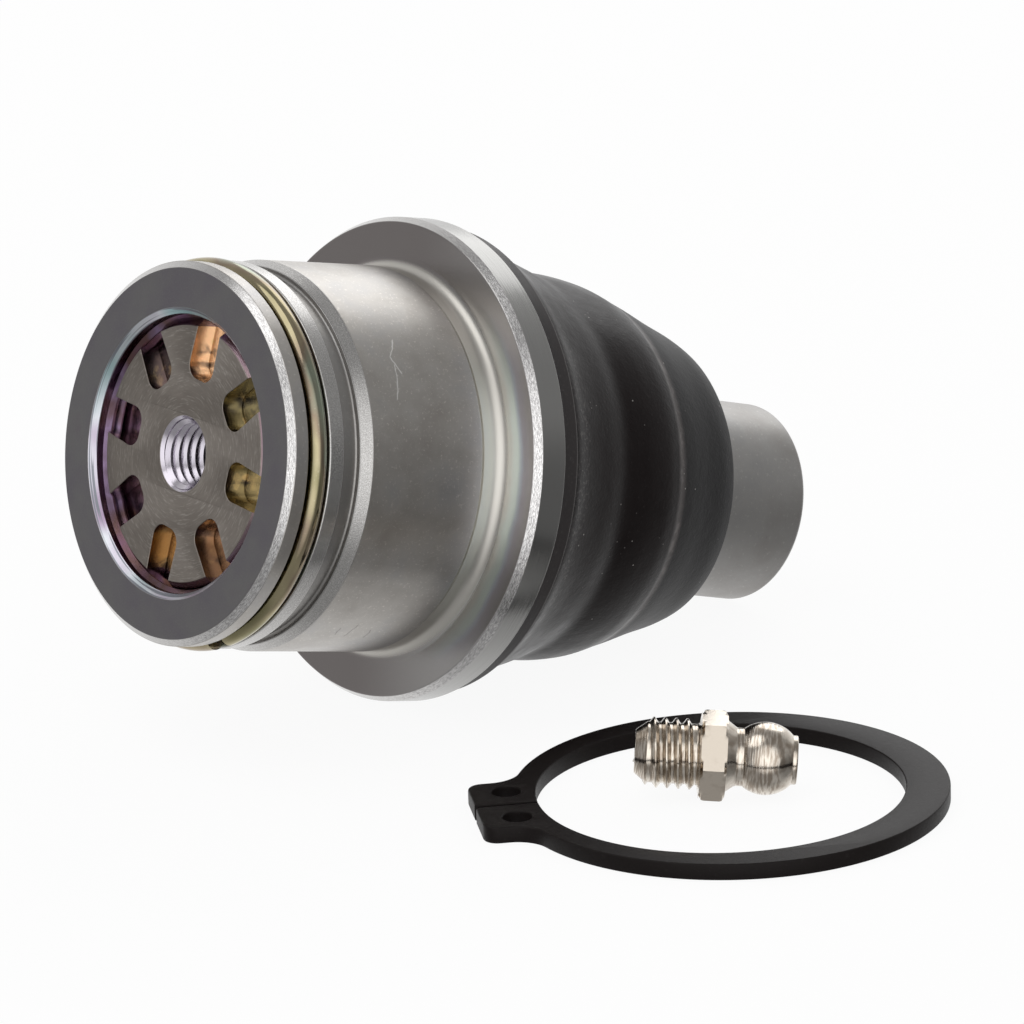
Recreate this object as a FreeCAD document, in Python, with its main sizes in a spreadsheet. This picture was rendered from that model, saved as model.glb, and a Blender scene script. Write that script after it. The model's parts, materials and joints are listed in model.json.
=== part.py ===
import FreeCAD, Part
import math
import os
import Sketcher

# Flanged press-in suspension ball joint with its loose retaining ring and grease fitting.
# Millimetres. +Z is up and z = 0 is the surface that everything lies on. The joint lies on
# its flange rim and stud end: the slotted cap faces -Y, the stud points to +Y and down, and
# the loose pieces lie on the +X side. The origin is the middle of the footprint.
# Along the joint itself, depth is measured from the front face of the housing to the stud.

Vector = FreeCAD.Vector
Rotation = FreeCAD.Rotation

# Driving sizes: name, value, meaning
SIZES = [
    ("lying_angle", 13.5, "slope of the housing axis down towards the stud, degrees"),
    ("running_gap", 0.05, "radial clearance of the pieces that turn or slide in each other"),
    ("soft_gap", 0.3, "room between the rubber boot and the pieces that move against it"),
    ("barrel_dia", 35.0, "barrel that is pressed into the control arm"),
    ("face_dia", 32.9, "outside edge of the front face"),
    ("face_chamfer", 0.55, "depth of the chamfer between front face and collar"),
    ("collar_dia", 34.2, "collar in front of the wire ring"),
    ("wire_groove_front", 1.9, "depth of the front wall of the wire ring groove"),
    ("wire_groove_width", 2.2, "width of the wire ring groove"),
    ("wire_ring_dia", 34.6, "outside of the wire ring"),
    ("wire_dia", 1.8, "thickness of the wire"),
    ("wire_gap_angle", 7.0, "opening between the two ends of the wire ring, degrees"),
    ("wire_place_angle", 66.0, "place of that opening round the housing, degrees"),
    ("land_dia", 34.6, "land between the two grooves"),
    ("clip_groove_front", 5.65, "depth of the front wall of the retaining ring groove"),
    ("clip_groove_width", 2.0, "width of the retaining ring groove"),
    ("clip_groove_dia", 33.0, "floor of the retaining ring groove"),
    ("barrel_lead", 1.1, "depth of the lead chamfer on the barrel"),
    ("barrel_lead_drop", 0.55, "height of that chamfer"),
    ("flange_front", 23.5, "depth of the flange's front face, the press-in stop"),
    ("flange_thick", 3.6, "thickness of the flange"),
    ("flange_dia", 44.0, "outside of the flange"),
    ("flange_chamfer", 0.3, "chamfers on the flange rim"),
    ("root_fillet", 2.0, "fillet between barrel and flange"),
    ("spigot_dia", 34.0, "neck behind the flange that carries the boot's base ring"),
    ("spigot_length", 2.4, "length of that neck"),
    ("mouth_dia", 26.0, "outside of the chamfer at the mouth of the housing"),
    ("bore_dia", 24.8, "bore for the cap and the bearing races"),
    ("mouth_chamfer", 0.6, "depth of the chamfer at the mouth"),
    ("cap_recess", 2.0, "depth of the cap's face below the front face"),
    ("cap_thick", 5.4, "thickness of the screw cap"),
    ("cap_edge", 0.25, "chamfer round the cap's face"),
    ("slot_count", 8, "spanner slots in the cap"),
    ("slot_width", 3.8, "width of a slot"),
    ("slot_depth", 2.2, "depth of a slot"),
    ("slot_inner_reach", 6.9, "distance from the axis to the round end of a slot"),
    ("slot_angle", 22.5, "angle of the first slot, degrees"),
    ("grease_hole_dia", 5.5, "tapped hole in the cap, wall diameter"),
    ("grease_hole_mouth", 6.8, "countersink of the tapped hole"),
    ("ball_dia", 22.0, "ball of the stud"),
    ("ball_depth", 20.0, "depth of the ball's centre"),
    ("ball_flat", 10.3, "distance from the ball's centre to the flat on its top"),
    ("race_split", 0.2, "gap between the two races at the ball's equator"),
    ("race_seat_depth", 25.2, "depth of the shoulder that carries the lower race"),
    ("grease_way_dia", 3.0, "grease way through the upper race"),
    ("lip_dia", 20.6, "opening of the shoulder next to the lower race"),
    ("exit_dia", 24.6, "opening at the end of the neck, flared for the stud's swing"),
    ("neck_dia", 14.0, "neck of the stud below the ball"),
    ("neck_fillet", 1.5, "fillet between ball and neck"),
    ("neck_end", 14.5, "distance from the ball's centre to the end of the neck"),
    ("shank_start", 20.5, "distance from the ball's centre to the end of its cone"),
    ("journal_dia", 18.2, "part of the stud that turns in the boot's ring"),
    ("shank_dia", 18.6, "plain shank that is clamped in the knuckle"),
    ("stud_reach", 47.5, "distance from the ball's centre to the end of the stud"),
    ("stud_chamfer", 0.5, "chamfer at the end of the stud"),
    ("base_ring_height", 4.35, "height of the boot's base ring above that neck"),
    ("base_ring_thick", 1.7, "thickness of the base ring"),
    ("boot_wall", 2.0, "thickness of the boot"),
    ("boot_step", 0.3, "how far the boot stays below its base ring"),
    ("boot_waist_dia", 36.9, "boot at its shallow waist"),
    ("boot_waist_depth", 36.5, "depth of the waist"),
    ("boot_bulge_dia", 35.3, "boot at the middle of its bulge"),
    ("boot_bulge_depth", 41.5, "depth of the bulge"),
    ("boot_ridge_dia", 33.3, "boot at its ridge"),
    ("boot_ridge_depth", 45.6, "depth of the ridge"),
    ("boot_end_dia", 26.8, "boot at its small end"),
    ("boot_end_depth", 54.5, "depth of the small end"),
    ("boot_end_drop", 1.4, "how far the hanging stud pulls the small end down"),
    ("boot_end_wall", 1.8, "thickness of the boot's small end"),
    ("stud_ring_dia", 21.2, "outside of the ring between boot and stud"),
    ("stud_ring_length", 1.9, "length of that ring"),
    ("clip_inner_dia", 32.2, "inside of the retaining ring, unloaded"),
    ("clip_outer_dia", 38.2, "outside of the retaining ring"),
    ("clip_shift", 0.9, "how far its outside is offset away from the lugs"),
    ("clip_thick", 1.5, "thickness of the retaining ring"),
    ("clip_gap", 0.4, "gap between the lugs"),
    ("lug_width", 5.4, "width of one lug"),
    ("lug_corner", 1.3, "rounded corner of a lug"),
    ("lug_blend", 3.0, "hollow between lug and ring"),
    ("plier_hole_dia", 2.6, "hole for the circlip pliers"),
    ("plier_hole_depth", 2.3, "distance from the ring's inside to a plier hole"),
    ("plier_hole_side", 3.2, "distance from the gap's middle to a plier hole"),
    ("lug_tip", 3.2, "distance from a plier hole to the tip of its lug"),
    ("clip_x", 43.5, "place of the ring's centre beside the front face's centre"),
    ("clip_y", 26.0, "place of the ring's centre behind the front face's centre"),
    ("clip_angle", 240.6, "direction of the lugs from the ring's centre, degrees"),
    ("fitting_thread_dia", 6.2, "thread of the grease fitting"),
    ("fitting_pilot_dia", 3.8, "thread end of the fitting"),
    ("fitting_lead", 1.0, "cone at the start of the thread"),
    ("fitting_thread_length", 5.75, "length of the thread"),
    ("fitting_hex", 7.0, "size of the hexagon across its flats"),
    ("fitting_hex_thick", 2.25, "thickness of the hexagon"),
    ("fitting_hex_chamfer", 0.45, "chamfer on the corners of the hexagon"),
    ("fitting_neck_dia", 5.1, "neck behind the head"),
    ("fitting_neck_cone", 0.6, "cone between hexagon and neck"),
    ("fitting_head_dia", 6.4, "round head that the coupler grips"),
    ("fitting_head_middle", 11.4, "distance from the thread end to the widest part"),
    ("fitting_tip_dia", 4.3, "flat end of the head"),
    ("fitting_length", 14.2, "length of the fitting"),
    ("fitting_bore_dia", 2.4, "bore for the check ball and its spring"),
    ("fitting_tip_hole", 1.5, "hole that the check ball closes"),
    ("fitting_rear_hole", 1.6, "hole in the rear wall, which holds the spring"),
    ("fitting_rear_wall", 1.0, "thickness of the rear wall"),
    ("fitting_tip_wall", 0.8, "distance from the flat end to the seat of the ball"),
    ("check_ball_dia", 2.2, "check ball"),
    ("spring_dia", 2.1, "outside of the check spring"),
    ("spring_wire", 0.25, "wire of the check spring"),
    ("spring_coils", 7, "coils of the check spring"),
    ("fitting_x", 41.5, "place of the hexagon's middle beside the front face's centre"),
    ("fitting_y", 26.9, "place of the hexagon's middle behind the front face's centre"),
    ("fitting_angle", 50.5, "direction in which the head points, degrees from +X"),
]

doc = FreeCAD.newDocument("ball_joint")
sheet = doc.addObject("Spreadsheet::Sheet", "sizes")
for row, (alias, value, meaning) in enumerate(SIZES, start=1):
    sheet.set("A%d" % row, alias)
    sheet.set("B%d" % row, str(value))
    sheet.set("C%d" % row, meaning)
    sheet.setAlias("B%d" % row, alias)
doc.recompute()


def size(alias):
    return float(getattr(sheet, alias))


def number(expression):
    # The value of an expression over the sheet, in millimetres or degrees
    return float(sheet.evalExpression(expression))


# Expressions that several pieces share. Radii and depths are those of the joint itself.
BARREL_R = "sizes.barrel_dia / 2"
BORE_R = "sizes.bore_dia / 2"
FLANGE_R = "sizes.flange_dia / 2"
BALL_R = "sizes.ball_dia / 2"
NECK_R = "sizes.neck_dia / 2"
SHANK_R = "sizes.shank_dia / 2"
JOURNAL_R = "sizes.journal_dia / 2"
FLANGE_BACK = "sizes.flange_front + sizes.flange_thick"
SPIGOT_END = FLANGE_BACK + " + sizes.spigot_length"
CAP_BACK = "sizes.cap_recess + sizes.cap_thick"
RACE_R = BORE_R + " - sizes.running_gap"
RACE_INNER_R = BALL_R + " + sizes.running_gap"
RACE_BACK = "sizes.race_seat_depth - sizes.running_gap"
BASE_RING_END = FLANGE_BACK + " + sizes.base_ring_thick"
BASE_RING_INNER_R = "sizes.spigot_dia / 2 + sizes.running_gap"
BASE_RING_R = BASE_RING_INNER_R + " + sizes.base_ring_height"
BOOT_START = BASE_RING_END + " + sizes.soft_gap"
RING_BACK = "sizes.boot_end_depth - sizes.ball_depth"
JOURNAL_END = RING_BACK + " + sizes.soft_gap"
# How far a cut runs past the face that it opens
OVERCUT = "1"
HEX_BACK = "sizes.fitting_thread_length + sizes.fitting_hex_thick"
# The check ball rests on a 45 degree seat, whose small end is the tip hole
SEAT_SMALL_END = "sizes.fitting_length - sizes.fitting_tip_wall"
CHECK_BALL_DEPTH = SEAT_SMALL_END + (
    " + sizes.fitting_tip_hole / 2"
    " - (sizes.check_ball_dia / 2 + sizes.running_gap) * sqrt(2)"
)


def origin_plane(body, role):
    return next(item for item in body.Origin.OriginFeatures if item.Role == role)


def new_body(label):
    body = doc.addObject("PartDesign::Body", label)
    body.Label = label
    return body


def new_sketch(body, name, role, offset=None):
    sketch = body.newObject("Sketcher::SketchObject", name)
    sketch.AttachmentSupport = [(origin_plane(body, role), "")]
    sketch.MapMode = "FlatFace"
    if offset:
        sketch.setExpression("AttachmentOffset.Base.z", offset)
    return sketch


def fix_point(sketch, geometry, end, across, along):
    # Holds one end of a sketch line at two expressions. An expression of 0 means an axis.
    for kind, expression, axis in (("DistanceX", across, -2), ("DistanceY", along, -1)):
        if expression == "0":
            sketch.addConstraint(Sketcher.Constraint("PointOnObject", geometry, end, axis))
            continue
        index = sketch.addConstraint(
            Sketcher.Constraint(kind, -1, 1, geometry, end, number(expression))
        )
        sketch.setExpression("Constraints[%d]" % index, expression)


def draw_outline(sketch, corners, arcs=None):
    # A closed outline through corners given as pairs of expressions. arcs maps the number of
    # a side to (radius, sense): +1 turns left on the way to the next corner, -1 turns right.
    # A half circle also gives the place of its centre, because its radius can't hold it.
    arcs = arcs or {}
    points = [Vector(number(across), number(along), 0) for across, along in corners]
    ends = []
    for i, start in enumerate(points):
        stop = points[(i + 1) % len(points)]
        if i not in arcs:
            line = sketch.addGeometry(Part.LineSegment(start, stop), False)
            ends.append((line, 1, 2))
            continue
        radius_text, sense = arcs[i][:2]
        radius = number(radius_text)
        chord = stop - start
        side = Vector(-chord.y, chord.x, 0).normalize()
        rise = math.sqrt(max(radius**2 - (chord.Length / 2) ** 2, 0.0))
        centre = (start + stop) / 2 + side * rise * sense
        first, last = (start, stop) if sense > 0 else (stop, start)
        turn_from = math.atan2(first.y - centre.y, first.x - centre.x)
        turn_to = math.atan2(last.y - centre.y, last.x - centre.x)
        circle = Part.Circle(centre, Vector(0, 0, 1), radius)
        arc = sketch.addGeometry(Part.ArcOfCircle(circle, turn_from, turn_to), False)
        ends.append((arc, 1, 2) if sense > 0 else (arc, 2, 1))
    for i, (geometry, start_end, stop_end) in enumerate(ends):
        following, next_start, _ = ends[(i + 1) % len(ends)]
        sketch.addConstraint(
            Sketcher.Constraint("Coincident", geometry, stop_end, following, next_start)
        )
        fix_point(sketch, geometry, start_end, *corners[i])
    for i, (radius_text, _, *middle) in arcs.items():
        arc = ends[i][0]
        if middle:
            held = Sketcher.Constraint("DistanceX", -1, 1, arc, 3, number(middle[0]))
        else:
            held = Sketcher.Constraint("Radius", arc, number(radius_text))
        index = sketch.addConstraint(held)
        sketch.setExpression("Constraints[%d]" % index, middle[0] if middle else radius_text)


def draw_circle(sketch, radius, across="0", along="0"):
    centre = Vector(number(across), number(along), 0)
    circle = Part.Circle(centre, Vector(0, 0, 1), number(radius))
    geometry = sketch.addGeometry(circle, False)
    fix_point(sketch, geometry, 3, across, along)
    index = sketch.addConstraint(Sketcher.Constraint("Radius", geometry, number(radius)))
    sketch.setExpression("Constraints[%d]" % index, radius)


def turn_profile(body, name, corners, arcs=None):
    # A turned shape: the outline's first values are radii and its second values are depths
    sketch = new_sketch(body, name + "_outline", "XZ_Plane")
    draw_outline(sketch, corners, arcs)
    turned = body.newObject("PartDesign::Revolution", name)
    turned.Profile = sketch
    turned.ReferenceAxis = (sketch, ["V_Axis"])
    turned.Angle = 360
    return turned


def cut_down(body, sketch, name, depth):
    # A pocket from the sketch's plane towards lower depths of the body
    pocket = body.newObject("PartDesign::Pocket", name)
    pocket.Profile = sketch
    pocket.Type = "Length"
    pocket.setExpression("Length", depth)
    return pocket


def repeat_round(body, feature, sketch, count, name):
    pattern = body.newObject("PartDesign::PolarPattern", name)
    pattern.Originals = [feature]
    pattern.Axis = (sketch, ["N_Axis"])
    pattern.Angle = 360
    if isinstance(count, str):
        pattern.setExpression("Occurrences", count)
    else:
        pattern.Occurrences = count
    body.Tip = pattern
    return pattern


def make_housing():
    body = new_body("housing")
    mouth_r = "sizes.mouth_dia / 2"
    collar_r = "sizes.collar_dia / 2"
    land_r = "sizes.land_dia / 2"
    wire_floor_r = "sizes.wire_ring_dia / 2 - sizes.wire_dia - sizes.running_gap"
    wire_back = "sizes.wire_groove_front + sizes.wire_groove_width"
    clip_floor_r = "sizes.clip_groove_dia / 2"
    clip_back = "sizes.clip_groove_front + sizes.clip_groove_width"
    flange_edge_r = FLANGE_R + " - sizes.flange_chamfer"
    corners = [
        (mouth_r, "0"),
        ("sizes.face_dia / 2", "0"),
        (collar_r, "sizes.face_chamfer"),
        (collar_r, "sizes.wire_groove_front"),
        (wire_floor_r, "sizes.wire_groove_front"),
        (wire_floor_r, wire_back),
        (land_r, wire_back),
        (land_r, "sizes.clip_groove_front"),
        (clip_floor_r, "sizes.clip_groove_front"),
        (clip_floor_r, clip_back),
        (BARREL_R + " - sizes.barrel_lead_drop", clip_back),
        (BARREL_R, clip_back + " + sizes.barrel_lead"),
        (BARREL_R, "sizes.flange_front - sizes.root_fillet"),
        (BARREL_R + " + sizes.root_fillet", "sizes.flange_front"),
        (flange_edge_r, "sizes.flange_front"),
        (FLANGE_R, "sizes.flange_front + sizes.flange_chamfer"),
        (FLANGE_R, FLANGE_BACK + " - sizes.flange_chamfer"),
        (flange_edge_r, FLANGE_BACK),
        ("sizes.spigot_dia / 2", FLANGE_BACK),
        ("sizes.spigot_dia / 2", SPIGOT_END),
        ("sizes.exit_dia / 2", SPIGOT_END),
        ("sizes.lip_dia / 2", "sizes.race_seat_depth"),
        (BORE_R, "sizes.race_seat_depth"),
        (BORE_R, "sizes.mouth_chamfer"),
    ]
    turn_profile(body, "housing_turned", corners, {12: ("sizes.root_fillet", -1)})
    return body


def make_cap():
    body = new_body("adjuster_cap")
    rim_r = RACE_R
    corners = [
        ("0", "sizes.cap_recess"),
        (rim_r + " - sizes.cap_edge", "sizes.cap_recess"),
        (rim_r, "sizes.cap_recess + sizes.cap_edge"),
        (rim_r, CAP_BACK),
        ("0", CAP_BACK),
    ]
    turn_profile(body, "cap_turned", corners)
    # The slots are open at the rim and have round inner ends. They are cut from their floor
    # outwards, so the pocket runs towards the front face.
    slots = new_sketch(body, "slot_outline", "XY_Plane", "sizes.cap_recess + sizes.slot_depth")
    slots.setExpression("AttachmentOffset.Rotation.Angle", "sizes.slot_angle * 1 deg")
    round_r = "sizes.slot_width / 2"
    round_middle = "sizes.slot_inner_reach + sizes.slot_width / 2"
    outside = BORE_R + " + " + OVERCUT
    draw_outline(
        slots,
        [
            (round_middle, "-(" + round_r + ")"),
            (outside, "-(" + round_r + ")"),
            (outside, round_r),
            (round_middle, round_r),
        ],
        {3: (round_r, 1, round_middle)},
    )
    slot = cut_down(body, slots, "slot", "sizes.slot_depth + sizes.cap_edge")
    repeat_round(body, slot, slots, "sizes.slot_count", "slots")
    hole_r = "sizes.grease_hole_dia / 2"
    mouth_r = "sizes.grease_hole_mouth / 2"
    above = "sizes.cap_recess - " + OVERCUT
    below = CAP_BACK + " + " + OVERCUT
    hole = new_sketch(body, "grease_hole_outline", "XZ_Plane")
    draw_outline(
        hole,
        [
            ("0", above),
            (mouth_r, above),
            (mouth_r, "sizes.cap_recess"),
            (hole_r, "sizes.cap_recess + " + mouth_r + " - " + hole_r),
            (hole_r, below),
            ("0", below),
        ],
    )
    groove = body.newObject("PartDesign::Groove", "grease_hole")
    groove.Profile = hole
    groove.ReferenceAxis = (hole, ["V_Axis"])
    groove.Angle = 360
    body.Tip = groove
    return body


def make_upper_race():
    body = new_body("upper_race")
    top = CAP_BACK + " + sizes.running_gap"
    split = "sizes.ball_depth - sizes.race_split / 2"
    hole_r = "sizes.grease_way_dia / 2"
    crown = "sizes.ball_depth - sqrt((%s)^2 - (%s)^2)" % (RACE_INNER_R, hole_r)
    corners = [
        (hole_r, top),
        (RACE_R, top),
        (RACE_R, split),
        ("sqrt((%s)^2 - (sizes.race_split / 2)^2)" % RACE_INNER_R, split),
        (hole_r, crown),
    ]
    turn_profile(body, "upper_race_turned", corners, {3: (RACE_INNER_R, -1)})
    return body


def make_lower_race():
    body = new_body("lower_race")
    split = "sizes.ball_depth + sizes.race_split / 2"
    reach = RACE_BACK + " - sizes.ball_depth"
    corners = [
        ("sqrt((%s)^2 - (sizes.race_split / 2)^2)" % RACE_INNER_R, split),
        (RACE_R, split),
        (RACE_R, RACE_BACK),
        ("sqrt((%s)^2 - (%s)^2)" % (RACE_INNER_R, reach), RACE_BACK),
    ]
    turn_profile(body, "lower_race_turned", corners, {3: (RACE_INNER_R, -1)})
    return body


def make_stud():
    # Depths of the stud are measured from the ball's centre. The flat is on its negative side.
    body = new_body("ball_stud")
    fillet_centre_r = NECK_R + " + sizes.neck_fillet"
    centre_reach = "sqrt((%s + sizes.neck_fillet)^2 - (%s)^2)" % (BALL_R, fillet_centre_r)
    share = "(%s) / (%s + sizes.neck_fillet)" % (BALL_R, BALL_R)
    corners = [
        ("0", "-sizes.ball_flat"),
        ("sqrt((%s)^2 - sizes.ball_flat^2)" % BALL_R, "-sizes.ball_flat"),
        ("(%s) * %s" % (fillet_centre_r, share), "(%s) * %s" % (centre_reach, share)),
        (NECK_R, centre_reach),
        (NECK_R, "sizes.neck_end"),
        (JOURNAL_R, "sizes.shank_start"),
        (JOURNAL_R, JOURNAL_END),
        (SHANK_R, JOURNAL_END),
        (SHANK_R, "sizes.stud_reach - sizes.stud_chamfer"),
        (SHANK_R + " - sizes.stud_chamfer", "sizes.stud_reach"),
        ("0", "sizes.stud_reach"),
    ]
    arcs = {1: (BALL_R, 1), 2: ("sizes.neck_fillet", -1)}
    turn_profile(body, "stud_turned", corners, arcs)
    return body


def make_base_ring():
    body = new_body("boot_base_ring")
    corners = [
        (BASE_RING_INNER_R, FLANGE_BACK),
        (BASE_RING_R, FLANGE_BACK),
        (BASE_RING_R, BASE_RING_END),
        (BASE_RING_INNER_R, BASE_RING_END),
    ]
    turn_profile(body, "base_ring_turned", corners)
    return body


def make_stud_ring():
    # Its depths are measured from the ball's centre along the stud
    body = new_body("boot_stud_ring")
    inner_r = JOURNAL_R + " + sizes.running_gap"
    outer_r = "sizes.stud_ring_dia / 2"
    front = RING_BACK + " - sizes.stud_ring_length"
    corners = [(inner_r, front), (outer_r, front), (outer_r, RING_BACK), (inner_r, RING_BACK)]
    turn_profile(body, "stud_ring_turned", corners)
    return body


def make_boot(stud_drop):
    # The boot hangs askew: each section is lower than the last. Local +Y points down.
    body = new_body("boot")
    run = "(sizes.boot_end_depth - (%s))" % BOOT_START

    def drop_at(depth):
        return "sizes.boot_end_drop * ((%s - (%s)) / %s)^1.5" % (depth, BOOT_START, run)

    ridge = "sizes.boot_ridge_depth"
    inner_end = "sizes.boot_end_depth - sizes.boot_end_wall"
    cone_share = "(%s - %s) / (sizes.boot_end_depth - %s)" % (inner_end, ridge, ridge)
    outer = [
        (BOOT_START, BASE_RING_R + " - sizes.boot_step"),
        ("sizes.boot_waist_depth", "sizes.boot_waist_dia / 2"),
        ("sizes.boot_bulge_depth", "sizes.boot_bulge_dia / 2"),
        (ridge, "sizes.boot_ridge_dia / 2"),
    ]
    cone = [outer[-1], ("sizes.boot_end_depth", "sizes.boot_end_dia / 2")]
    inner = [(depth, radius + " - sizes.boot_wall") for depth, radius in outer]
    cone_r = "(sizes.boot_ridge_dia + (sizes.boot_end_dia - sizes.boot_ridge_dia) * %s) / 2"
    inner_cone = [inner[-1], (inner_end, cone_r % cone_share + " - sizes.boot_wall")]
    for kind, name, sections in (
        ("PartDesign::AdditiveLoft", "boot_bellows", outer),
        ("PartDesign::AdditiveLoft", "boot_cone", cone),
        ("PartDesign::SubtractiveLoft", "boot_inside", inner),
        ("PartDesign::SubtractiveLoft", "boot_cone_inside", inner_cone),
    ):
        sketches = []
        for number_of, (depth, radius) in enumerate(sections, start=1):
            sketch = new_sketch(body, "%s_section_%d" % (name, number_of), "XY_Plane", depth)
            along = "0" if depth == BOOT_START else drop_at(depth)
            draw_circle(sketch, radius, "0", along)
            sketches.append(sketch)
        doc.recompute()
        loft = body.newObject(kind, name)
        loft.Profile = sketches[0]
        loft.Sections = sketches[1:]
        loft.Ruled = False
    hole = new_sketch(body, "stud_hole_outline", "XY_Plane", "sizes.boot_end_depth")
    draw_circle(hole, "sizes.stud_ring_dia / 2 + sizes.soft_gap", "0", "%.6f" % stud_drop)
    cut_down(body, hole, "stud_hole", "sizes.boot_end_wall + " + OVERCUT)
    return body


def make_wire_ring():
    ring = doc.addObject("Part::Torus", "wire_ring")
    ring.Label = "wire_ring"
    ring.setExpression("Radius1", "sizes.wire_ring_dia / 2 - sizes.wire_dia / 2")
    ring.setExpression("Radius2", "sizes.wire_dia / 2")
    ring.setExpression("Angle3", "360 - sizes.wire_gap_angle")
    return ring


def make_circlip():
    # Lies flat on z = 0 with its gap towards local +X
    body = new_body("circlip")
    inner_r = "sizes.clip_inner_dia / 2"
    hole_x = inner_r + " + sizes.plier_hole_depth"
    lug_end = hole_x + " + sizes.lug_tip"
    ring = new_sketch(body, "ring_outline", "XY_Plane")
    draw_circle(ring, "sizes.clip_outer_dia / 2", "-sizes.clip_shift", "0")
    pad = body.newObject("PartDesign::Pad", "ring_blank")
    pad.Profile = ring
    pad.setExpression("Length", "sizes.clip_thick")
    lugs = new_sketch(body, "lug_outline", "XY_Plane")
    side = "sizes.lug_width + sizes.clip_gap / 2"
    corner_x = lug_end + " - sizes.lug_corner"
    corner_y = side + " - sizes.lug_corner"
    root_x = inner_r + " - sizes.lug_blend"
    draw_outline(
        lugs,
        [
            (root_x, "-(" + side + ")"),
            (corner_x, "-(" + side + ")"),
            (lug_end, "-(" + corner_y + ")"),
            (lug_end, corner_y),
            (corner_x, side),
            (root_x, side),
        ],
        {1: ("sizes.lug_corner", 1), 3: ("sizes.lug_corner", 1)},
    )
    lug_pad = body.newObject("PartDesign::Pad", "lug_blank")
    lug_pad.Profile = lugs
    lug_pad.setExpression("Length", "sizes.clip_thick")
    doc.recompute()
    # The two upright edges where the sides of the lugs leave the ring
    blends = []
    for number_of, edge in enumerate(lug_pad.Shape.Edges, start=1):
        ends = [vertex.Point for vertex in edge.Vertexes]
        if len(ends) != 2 or (ends[0] - ends[1]).Length > abs(ends[0].z - ends[1].z) + 1e-6:
            continue
        at_side = abs(abs(ends[0].y) - number(side)) < 1e-6
        if at_side and ends[0].x < number(corner_x) - size("lug_corner") / 2:
            blends.append("Edge%d" % number_of)
    blend = body.newObject("PartDesign::Fillet", "lug_blends")
    blend.Base = (lug_pad, blends)
    blend.setExpression("Radius", "sizes.lug_blend")
    doc.recompute()
    inside = new_sketch(body, "inside_outline", "XY_Plane", "sizes.clip_thick")
    draw_circle(inside, inner_r)
    cut_down(body, inside, "inside", "sizes.clip_thick")
    gap = new_sketch(body, "gap_outline", "XY_Plane", "sizes.clip_thick")
    half_gap = "sizes.clip_gap / 2"
    within = inner_r + " - " + OVERCUT
    beyond = lug_end + " + " + OVERCUT
    draw_outline(
        gap,
        [
            (within, "-(" + half_gap + ")"),
            (beyond, "-(" + half_gap + ")"),
            (beyond, half_gap),
            (within, half_gap),
        ],
    )
    cut_down(body, gap, "gap", "sizes.clip_thick")
    holes = new_sketch(body, "plier_hole_outline", "XY_Plane", "sizes.clip_thick")
    for sign in ("", "-"):
        centre_y = sign + "sizes.plier_hole_side"
        draw_circle(holes, "sizes.plier_hole_dia / 2", hole_x, centre_y)
    cut_down(body, holes, "plier_holes", "sizes.clip_thick")
    return body


def make_fitting():
    # Turned from its thread end at 0 to its head; the hexagon is then milled on its collar
    body = new_body("grease_fitting")
    thread_r = "sizes.fitting_thread_dia / 2"
    corner_r = "sizes.fitting_hex / 2 / cos(30)"
    chamfer = "sizes.fitting_hex_chamfer"
    hex_front = "sizes.fitting_thread_length"
    neck_r = "sizes.fitting_neck_dia / 2"
    head_r = "sizes.fitting_head_dia / 2"
    head_middle = "sizes.fitting_head_middle"
    tip_r = "sizes.fitting_tip_dia / 2"
    tip_hole_r = "sizes.fitting_tip_hole / 2"
    bore_r = "sizes.fitting_bore_dia / 2"
    rear_hole_r = "sizes.fitting_rear_hole / 2"
    corners = [
        (rear_hole_r, "0"),
        ("sizes.fitting_pilot_dia / 2", "0"),
        (thread_r, "sizes.fitting_lead"),
        (thread_r, hex_front),
        (corner_r + " - " + chamfer, hex_front),
        (corner_r, hex_front + " + %s / 2" % chamfer),
        (corner_r, HEX_BACK + " - %s / 2" % chamfer),
        (corner_r + " - " + chamfer, HEX_BACK),
        (neck_r + " + sizes.fitting_neck_cone", HEX_BACK),
        (neck_r, HEX_BACK + " + sizes.fitting_neck_cone"),
        (neck_r, "%s - sqrt((%s)^2 - (%s)^2)" % (head_middle, head_r, neck_r)),
        (tip_r, "%s + sqrt((%s)^2 - (%s)^2)" % (head_middle, head_r, tip_r)),
        (tip_r, "sizes.fitting_length"),
        (tip_hole_r, "sizes.fitting_length"),
        (tip_hole_r, SEAT_SMALL_END),
        (bore_r, SEAT_SMALL_END + " - %s + %s" % (bore_r, tip_hole_r)),
        (bore_r, "sizes.fitting_rear_wall"),
        (rear_hole_r, "sizes.fitting_rear_wall"),
    ]
    turn_profile(body, "fitting_turned", corners, {10: (head_r, 1)})
    flats = new_sketch(body, "flat_outline", "XY_Plane", HEX_BACK)
    draw_outline(
        flats,
        [
            ("sizes.fitting_hex / 2", "-sizes.fitting_hex"),
            ("sizes.fitting_hex", "-sizes.fitting_hex"),
            ("sizes.fitting_hex", "sizes.fitting_hex"),
            ("sizes.fitting_hex / 2", "sizes.fitting_hex"),
        ],
    )
    flat = cut_down(body, flats, "hex_flat", "sizes.fitting_hex_thick")
    repeat_round(body, flat, flats, 6, "hexagon")
    return body


def make_check_ball():
    ball = doc.addObject("Part::Sphere", "check_ball")
    ball.Label = "check_ball"
    ball.setExpression("Radius", "sizes.check_ball_dia / 2")
    return ball


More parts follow.
